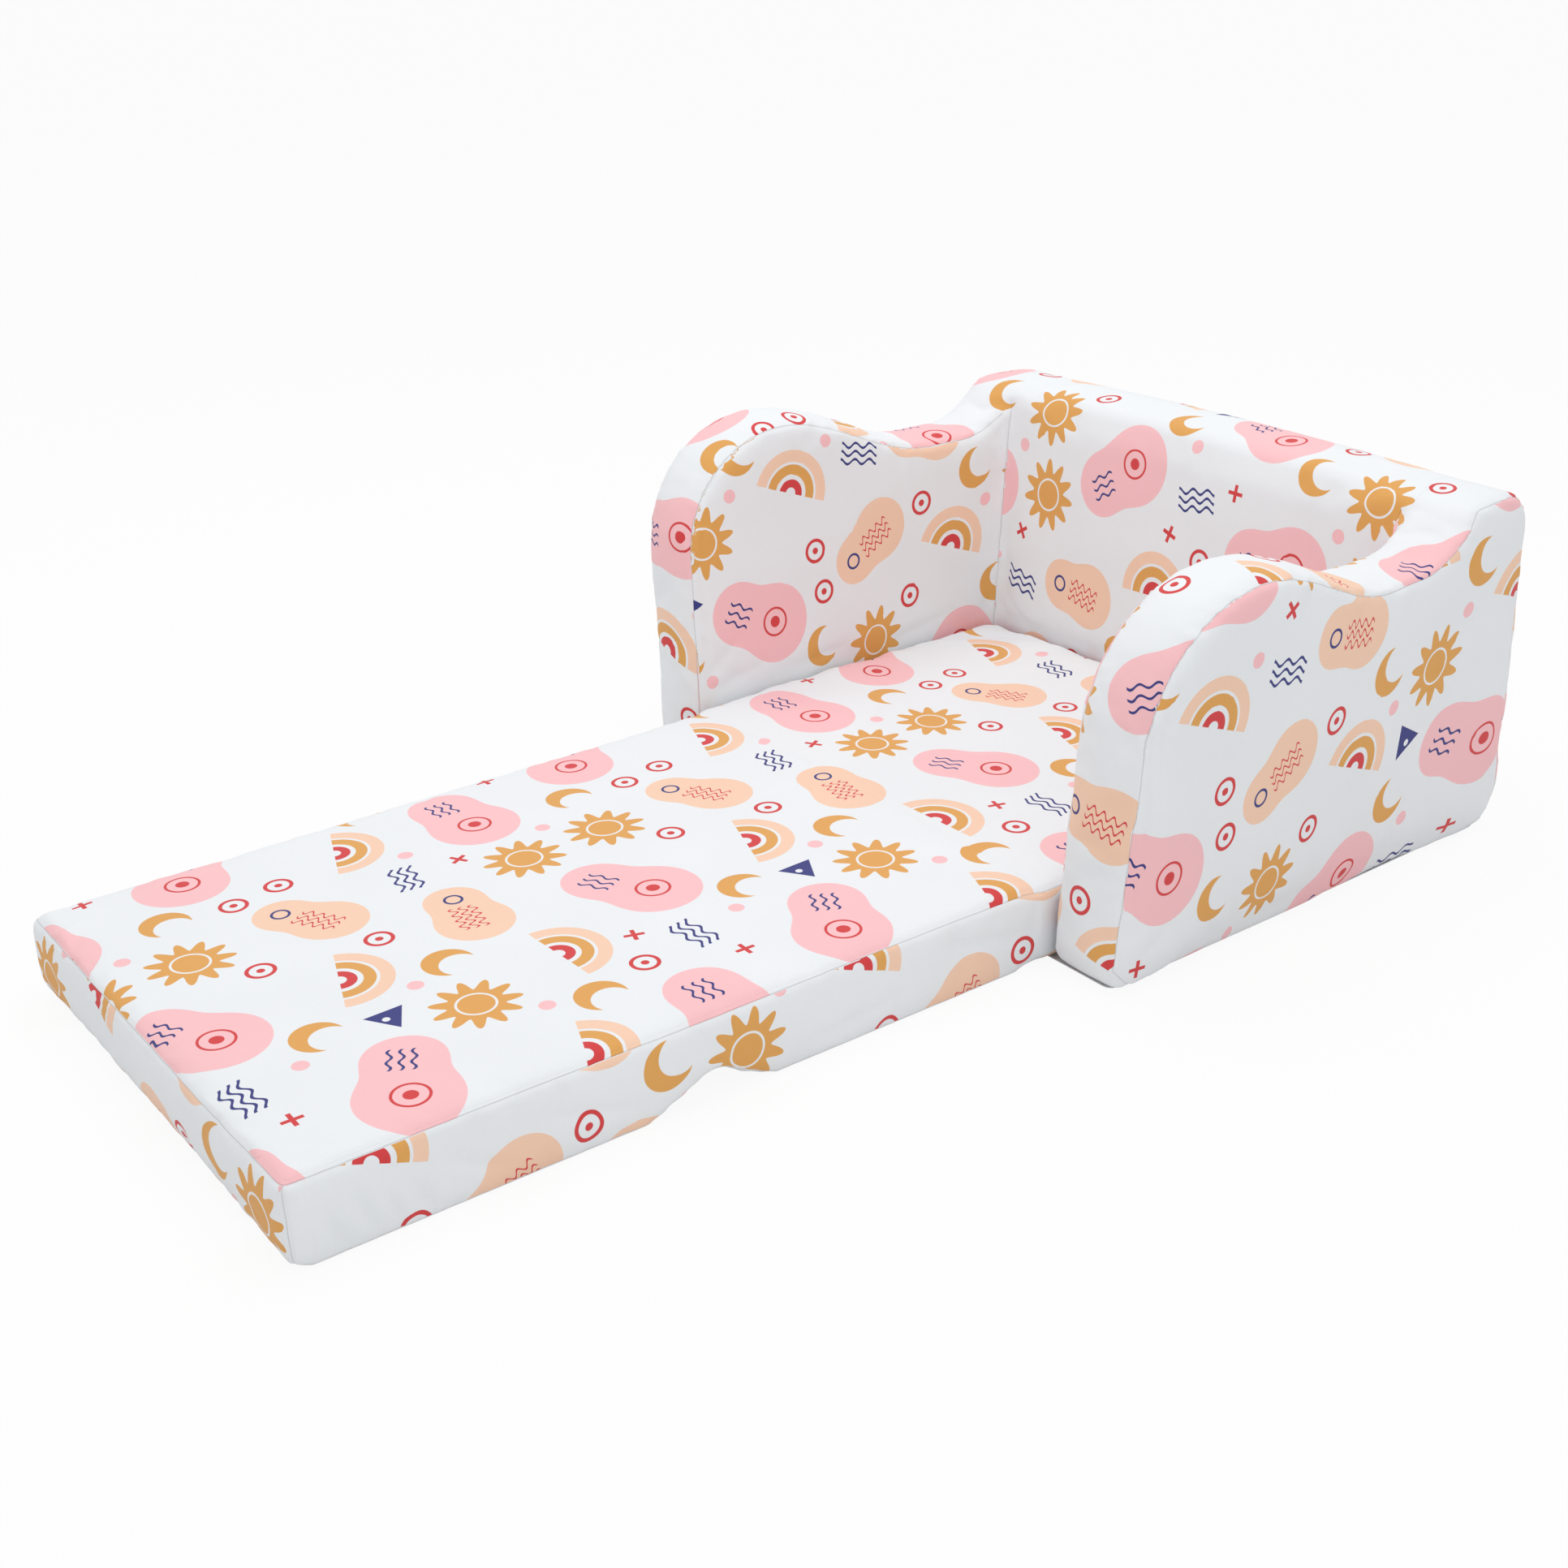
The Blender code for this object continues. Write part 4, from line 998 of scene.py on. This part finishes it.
def printed(tree, place):
    """The print's colour at a place on the cloth."""
    motif = split(tree, field_socket(tree, "motif", True))
    centre = node(tree, "ShaderNodeCombineXYZ", motif[0], motif[1]).outputs[0]
    turned = node(tree, "ShaderNodeVectorRotate", rotation_type="Z_AXIS")
    plug(tree, vector(tree, "SUBTRACT", place, centre), turned.inputs["Vector"])
    plug(tree, motif[2], turned.inputs["Angle"])
    here = turned.outputs[0]
    x, y, _ = split(tree, here)
    axes = {"place": here, "x": x, "y": y, "length": vector(tree, "LENGTH", here)}
    kind_here = field_socket(tree, "kind")
    shows = {
        kind: calc(tree, "COMPARE", kind_here, float(index), 0.5)
        for index, kind in enumerate(MOTIF_KINDS)
    }
    colour = WHITE
    for kind, distance, ink in motif_layers(tree, axes):
        share = times(tree, inked(tree, distance), shows[kind])
        colour = mix(tree, "RGBA", share, colour, ink)
    return colour


# %% [markdown]
# The cloth's fine detail: crossed threads of half a millimetre, a brushed nap, soft gathers
# that fade away from each seam, and a thin sunk line in each seam, darkened with painted shade.

# %% Printed cloth material
def noise(tree, place, scale, detail=1.0):
    """Soft random numbers round 0.5."""
    made = node(tree, "ShaderNodeTexNoise", place)
    set_inputs(made, {"Scale": scale, "Detail": detail})
    return made.outputs["Fac"]


def new_finish(name):
    """A new material, with its node tree and its Principled shader."""
    made = bpy.data.materials.new(name)
    made.use_nodes = True
    return made, made.node_tree, made.node_tree.nodes["Principled BSDF"]


def own_place(tree):
    """Object coordinates."""
    return node(tree, "ShaderNodeTexCoord").outputs["Object"]


def threads(tree, place, pitch):
    """Three waves, one along each axis. The product of two gives crossed threads."""
    waves = 2 * math.pi / pitch
    return split(tree, vector(tree, "SINE", vector(tree, "MULTIPLY", place, (waves, waves, waves))))


def raise_by(tree, shader, height, strength=0.6):
    """Feeds a height in metres to the shader as bump."""
    bump = node(tree, "ShaderNodeBump")
    set_inputs(bump, {"Strength": strength, "Distance": 1.0})
    plug(tree, height, bump.inputs["Height"])
    plug(tree, bump.outputs[0], shader.inputs["Normal"])


def toned(tree, shader, colour, tint):
    """Sets the base colour: a colour times a number."""
    colour = colour if isinstance(colour, bpy.types.NodeSocket) else colour[:3]
    shade = node(tree, "ShaderNodeVectorMath", colour, operation="SCALE")
    plug(tree, tint, shade.inputs["Scale"])
    plug(tree, shade.outputs[0], shader.inputs["Base Color"])


DOT_PITCH = 0.009
DOT_HEIGHT = 0.0004


def grip_dots(tree):
    """1 inside the small rubber dots on a lining."""
    high = (DOT_PITCH / 2, DOT_PITCH / 2, 1.0)
    local = vector(tree, "WRAP", own_place(tree), high, [-value for value in high])
    flat = vector(tree, "LENGTH", vector(tree, "MULTIPLY", local, (1.0, 1.0, 0.0)))
    return inked(tree, minus(tree, flat, 0.0014))


def seam_distance(tree, name):
    """How far away the seam of one kind is, from the two fields stored for it."""
    away = calc(tree, "ABSOLUTE", field_socket(tree, name))
    return calc(tree, "ADD", away, field_socket(tree, "no_" + name))


def printed_cloth():
    """Print, weave, nap, gathers and seam lines darkened with painted shade, on one Principled shader."""
    made, tree, shader = new_finish("printed_cloth")
    cuts = [field_socket(tree, name, True) for name in ("cut_a", "cut_b", "cap_place")]
    side = calc(tree, "GREATER_THAN", field_socket(tree, "choice"), 0.0)
    cap = field_socket(tree, "cap")
    place = mix(tree, "VECTOR", cap, mix(tree, "VECTOR", side, *cuts[:2]), cuts[2])
    near = calc(tree, "MINIMUM", seam_distance(tree, "seam"), seam_distance(tree, "corner"))
    near = calc(tree, "ADD", near, cap)
    fibre = threads(tree, place, 0.0009)
    weave = times(tree, fibre[0], fibre[1])
    nap = noise(tree, place, 900.0)
    fade = calc(tree, "EXPONENT", times(tree, near, -70.0))
    gather = times(tree, noise(tree, place, 45.0), fade)
    line = inked(tree, minus(tree, near, 0.0004))
    height = scaled(tree, weave, 0.00004, times(tree, nap, 0.00010))
    height = scaled(tree, gather, 0.0022, height)
    height = scaled(tree, line, -0.0006, height)
    base = calc(tree, "LESS_THAN", field_socket(tree, "base"), 0.0)
    dots = times(tree, grip_dots(tree), base)
    raise_by(tree, shader, scaled(tree, dots, DOT_HEIGHT, height))
    tint = scaled(tree, noise(tree, place, 9.0), 0.05, 0.95)
    tint = scaled(tree, nap, 0.03, tint)
    # Painted shade: the colour darkens by a fifth on the thin line along each sunk seam and down the inner
    # corners, where shade falls.
    tint = times(tree, tint, scaled(tree, line, -0.20, 1.0))
    toned(tree, shader, mix(tree, "RGBA", base, printed(tree, place), LINING), tint)
    set_inputs(shader, {"Roughness": 0.82, "Specular IOR Level": 0.25})
    set_inputs(shader, {"Sheen Weight": 0.15, "Sheen Roughness": 0.5})
    return made


PRINTED_CLOTH = printed_cloth()
for piece in (surround, seat, extension):
    piece.data.materials.clear()
    piece.data.materials.append(PRINTED_CLOTH)
print("printed cloth nodes:", len(PRINTED_CLOTH.node_tree.nodes))

# %% [markdown]
# The zip itself: two woven tapes, two rows of small moulded teeth that mesh, metal end stops
# and a slider with a pull tab. One pair of teeth is modelled and an array repeats it. The
# same helper makes every small block: a cube, scaled, with its edges bevelled.

# %% Zip tapes
def at_zip(along, out, up=0.0):
    """A place given from the zip: along it, out from its face, and up from its middle."""
    return (along, ZIP_FACE + out, ZIP_HEIGHT + up)


def bevelled(work, edges, offset, segments):
    """Rounds some edges."""
    bmesh.ops.bevel(
        work, geom=edges, offset=offset, affect="EDGES", segments=segments, profile=0.5, material=-1
    )


def block(work, size, place, edge=0.0003, segments=1, taper=1.0):
    """Adds a small block with bevelled edges. taper narrows its end at low x."""
    made = bmesh.ops.create_cube(work, size=1.0)["verts"]
    bmesh.ops.scale(work, verts=made, vec=size)
    for vert in made:
        if vert.co.x < 0:
            vert.co.z *= taper
    bmesh.ops.translate(work, verts=made, vec=place)
    edges = dict.fromkeys(line for vert in made for line in vert.link_edges)
    bevelled(work, list(edges), edge, segments)


def piece_from(name, work):
    """Turns a bmesh into a piece."""
    bmesh.ops.recalc_face_normals(work, faces=work.faces)
    return new_piece(name, mesh_from(name, work))


def tape_strip(name, size, place):
    """A thin closed strip of tape that faces back, with a slight cockle."""
    work = bmesh.new()
    bmesh.ops.create_grid(work, x_segments=200, y_segments=8, size=0.5)
    bmesh.ops.scale(work, verts=work.verts, vec=(*size, 1.0))
    for vert in work.verts:
        cockle = math.sin(vert.co.x * 210) * math.cos(vert.co.x * 61 + vert.co.y * 90)
        vert.co.z += 0.00012 * cockle
    turn = Matrix.Rotation(math.radians(-90), 3, "X")
    bmesh.ops.rotate(work, verts=work.verts, cent=(0.0, 0.0, 0.0), matrix=turn)
    bmesh.ops.translate(work, verts=work.verts, vec=place)
    bmesh.ops.solidify(work, geom=work.faces[:], thickness=0.0006)
    piece = piece_from(name, work)
    piece.data.shade_smooth()
    return piece


TAPE_WIDTH = 0.0125
TAPE_GAP = 0.0023
zip_tapes = []
for label, side in (("lower", -1), ("upper", 1)):
    size = (2 * ZIP_REACH - 0.001, TAPE_WIDTH)
    place = at_zip(0.0, -0.0011, side * (TAPE_GAP + TAPE_WIDTH / 2))
    tape = tape_strip("zip_cloth_" + label, size, place)
    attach(tape, "sofa")
    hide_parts("zip_tape_" + label)
    zip_tapes.append(tape)
print("zip tapes:", [round(v * 1000, 1) for v in size], "mm each")

# %% Zip teeth, stitches and slider
TOOTH_PITCH = 0.0024
chain_low, chain_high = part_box("zip_chain")


def repeated(piece, pitch, count):
    """Applies an array along x."""
    rows = piece.modifiers.new("row", "ARRAY")
    rows.use_relative_offset = False
    rows.use_constant_offset = True
    rows.constant_offset_displace = (pitch, 0.0, 0.0)
    rows.count = count
    mesh = finished_mesh(piece)
    piece.modifiers.clear()
    piece.data = mesh


TOOTH_SIZE = (0.0010, 0.0022, 0.0026)
work = bmesh.new()
for side in (-1, 1):
    along = chain_low[0] + TOOTH_PITCH * (0.5 + side / 4)
    block(work, TOOTH_SIZE, at_zip(along, 0.0001, side * 0.00075))
teeth = piece_from("zip_teeth", work)
repeated(teeth, TOOTH_PITCH, int((chain_high[0] - chain_low[0]) / TOOTH_PITCH))
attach(teeth, "sofa")
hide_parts("zip_chain")
STITCH_PITCH = 0.0034
STITCH_SIZE = (0.0024, 0.0005, 0.0005)
work = bmesh.new()
for side in (-1, 1):
    place = at_zip(0.002 - ZIP_REACH, 0.0005, side * (ZIP_HALF + 0.0022))
    block(work, STITCH_SIZE, place, 0.0002)
stitches = piece_from("zip_stitches", work)
repeated(stitches, STITCH_PITCH, int(2 * ZIP_REACH / STITCH_PITCH))
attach(stitches, "sofa")
SLIDER_BODY = (0.0138, 0.0011, 0.0088)
SLIDER_FLANGE = (0.0110, 0.0020, 0.0010)
SLIDER_POST = (0.0012, 0.0020, 0.0022)
SLIDER_BRIDGE = (0.0092, 0.0009, 0.0022)
PULL_TAB = (0.0056, 0.0009, 0.0230)
slider_low, slider_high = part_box("zip_slider")
middle = (slider_low[0] + slider_high[0]) / 2
work = bmesh.new()
block(work, SLIDER_BODY, at_zip(middle, 0.0021), 0.0005, 3, 0.78)
for side in (-1, 1):
    block(work, SLIDER_FLANGE, at_zip(middle, 0.0013, side * 0.0031), 0.0003, 2)
    block(work, SLIDER_POST, at_zip(middle + side * 0.0040, 0.0033), 0.0003, 2)
block(work, SLIDER_BRIDGE, at_zip(middle, 0.0043), 0.0003, 2)
block(work, PULL_TAB, at_zip(middle, 0.0033, -0.0105), 0.0004, 3)
front = [face for face in work.faces if face.normal.y > 0.9 and face.calc_area() > 0.00008]
bmesh.ops.inset_individual(work, faces=front, thickness=0.0009, depth=-0.0003)
slider = piece_from("zip_pull", work)
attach(slider, "zip_slider")
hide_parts("zip_slider")
print("teeth:", len(teeth.data.polygons), "faces, slider:", len(slider.data.polygons), "faces")

# %% [markdown]
# A thin lining ties arms, back and seat together underneath. It is a closed sheet with round
# corners, hidden under the sofa but seen when a child tips it over, and it has small rubber
# dots against slipping.

# %% Lining under the sofa
LINING_INSET = 0.020
lining_size = (SOFA_WIDTH - 2 * LINING_INSET, HEEL_START - 0.034)
work = bmesh.new()
bmesh.ops.create_cube(work, size=1.0)
bmesh.ops.scale(work, verts=work.verts, vec=(*lining_size, 0.001))
middle = (0.0, FRONT_Y + LINING_INSET + lining_size[1] / 2, 0.0008)
bmesh.ops.translate(work, verts=work.verts, vec=middle)
upright = [edge for edge in work.edges if abs(edge.verts[0].co.z - edge.verts[1].co.z) > 0.0005]
bevelled(work, upright, 0.010, 5)
bevelled(work, work.edges[:], 0.0003, 2)
lining = piece_from("base_lining", work)
put_points(lining.data, settled(points_of(lining.data)))
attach(lining, "sofa")
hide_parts("base_cloth")
print("lining:", [round(v, 3) for v in lining_size])

# %% [markdown]
# The small finishes: ribbed white zip tape, slightly uneven moulded plastic, dull cast metal
# with fine scratches, and the lining's plain weave with its dots.

# %% Finishes of the zip and the lining
def woven(name, colour, pitch, dotted):
    """A plain woven cloth in one colour, with rubber dots where it lies on the floor."""
    made, tree, shader = new_finish(name)
    place = own_place(tree)
    fibre = threads(tree, place, pitch)
    weave = times(tree, fibre[0], fibre[1] if dotted else fibre[2])
    fuzz = times(tree, noise(tree, place, 300.0), 0.0002)
    height = scaled(tree, weave, 0.00006, fuzz)
    uneven = scaled(tree, noise(tree, place, 40.0), 0.08, 0.90)
    tint = scaled(tree, weave, 0.05, uneven)
    rough = scaled(tree, noise(tree, place, 120.0), 0.1, 0.8)
    if dotted:
        dots = grip_dots(tree)
        height = scaled(tree, dots, DOT_HEIGHT, height)
        rough = scaled(tree, dots, -0.35, rough)
    raise_by(tree, shader, height)
    toned(tree, shader, colour, tint)
    plug(tree, rough, shader.inputs["Roughness"])
    shader.inputs["Specular IOR Level"].default_value = 0.25
    return made


def hard(name, colour, metallic, rough, grain):
    """Moulded plastic or cast metal, with fine scratches and an uneven gloss."""
    made, tree, shader = new_finish(name)
    place = own_place(tree)
    stretched = vector(tree, "MULTIPLY", place, (grain, 1.0, 1.0))
    scratch = noise(tree, stretched, 1500.0, 2.0)
    raise_by(tree, shader, times(tree, scratch, 0.00004), 0.5)
    uneven = scaled(tree, noise(tree, place, 220.0, 2.0), 0.10, 0.93)
    toned(tree, shader, colour, uneven)
    gloss = scaled(tree, scratch, 0.20, rough - 0.10)
    plug(tree, gloss, shader.inputs["Roughness"])
    shader.inputs["Metallic"].default_value = metallic
    return made


ZIP_TAPE = woven("zip_tape", linear(228, 231, 235), 0.0008, False)
BASE_LINING = woven("base_lining", LINING, 0.0011, True)
ZIP_PLASTIC = hard("tooth_plastic", linear(226, 229, 235), 0.0, 0.38, 1.0)
ZIP_METAL = hard("cast_metal", linear(196, 198, 203), 1.0, 0.34, 0.15)
for piece in zip_tapes + [stitches]:
    piece.data.materials.append(ZIP_TAPE)
lining.data.materials.append(BASE_LINING)
teeth.data.materials.append(ZIP_PLASTIC)
slider.data.materials.append(ZIP_METAL)
for name in ("zip_stop_left", "zip_stop_right"):
    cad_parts[name].material_slots[0].material = ZIP_METAL
print("finishes:", [made.name for made in (ZIP_TAPE, BASE_LINING, ZIP_PLASTIC, ZIP_METAL)])

# %% [markdown]
# A plain pale floor and soft light from above, with a weaker fill from the right.

# %% Floor and light
def stage_plane():
    """A wide pale floor that the camera sees as white, with the object's shadow on it."""
    work = bmesh.new()
    bmesh.ops.create_grid(work, x_segments=1, y_segments=1, size=30.0)
    mesh = mesh_from("floor", work)
    floor = new_piece("floor", mesh)
    floor.location.z = -0.0005
    made, tree, shader = new_finish("floor")
    grey = (0.85, 0.85, 0.85, 1.0)
    set_inputs(shader, {"Base Color": grey, "Roughness": 0.9, "Specular IOR Level": 0.0})
    glow = node(tree, "ShaderNodeEmission")
    set_inputs(glow, {"Color": (1.0, 1.0, 1.0, 1.0), "Strength": 1.0})
    seen = node(tree, "ShaderNodeLightPath").outputs["Is Camera Ray"]
    share = times(tree, seen, 0.92)
    blend = node(tree, "ShaderNodeMixShader", share, shader.outputs[0], glow.outputs[0])
    plug(tree, blend.outputs[0], tree.nodes["Material Output"].inputs["Surface"])
    mesh.materials.append(made)


def soft_lamp(name, place, target, size, power):
    """A square area lamp that faces a point."""
    lamp = bpy.data.lights.new(name, "AREA")
    lamp.size = size
    lamp.energy = power
    thing = bpy.data.objects.new(name, lamp)
    thing.location = place
    thing.rotation_mode = "QUATERNION"
    thing.rotation_quaternion = (Vector(target) - Vector(place)).to_track_quat("-Z", "Y")
    bpy.context.scene.collection.objects.link(thing)


stage_plane()
world = bpy.data.worlds.new("studio")
world.use_nodes = True
tree = world.node_tree
sky = tree.nodes["Background"]
sky.inputs["Color"].default_value = (1.0, 1.0, 1.0, 1.0)
seen = node(tree, "ShaderNodeLightPath")
shown = calc(tree, "MAXIMUM", seen.outputs["Is Camera Ray"], seen.outputs["Is Glossy Ray"])
shown = calc(tree, "MAXIMUM", shown, seen.outputs["Is Transmission Ray"])
SKY_LIGHT = 0.71
plug(tree, scaled(tree, shown, 1.0 - SKY_LIGHT, SKY_LIGHT), sky.inputs["Strength"])
bpy.context.scene.world = world
soft_lamp("overhead", (-0.3, 0.1, 2.6), (0.0, 0.0, 0.1), 2.4, 28.0)
soft_lamp("fill", (2.6, -0.5, 1.3), (0.0, 0.0, 0.15), 2.0, 6.0)
print("stage set")

# %% Finish: the plain view transform
bpy.context.scene.view_settings.view_transform = "Standard"
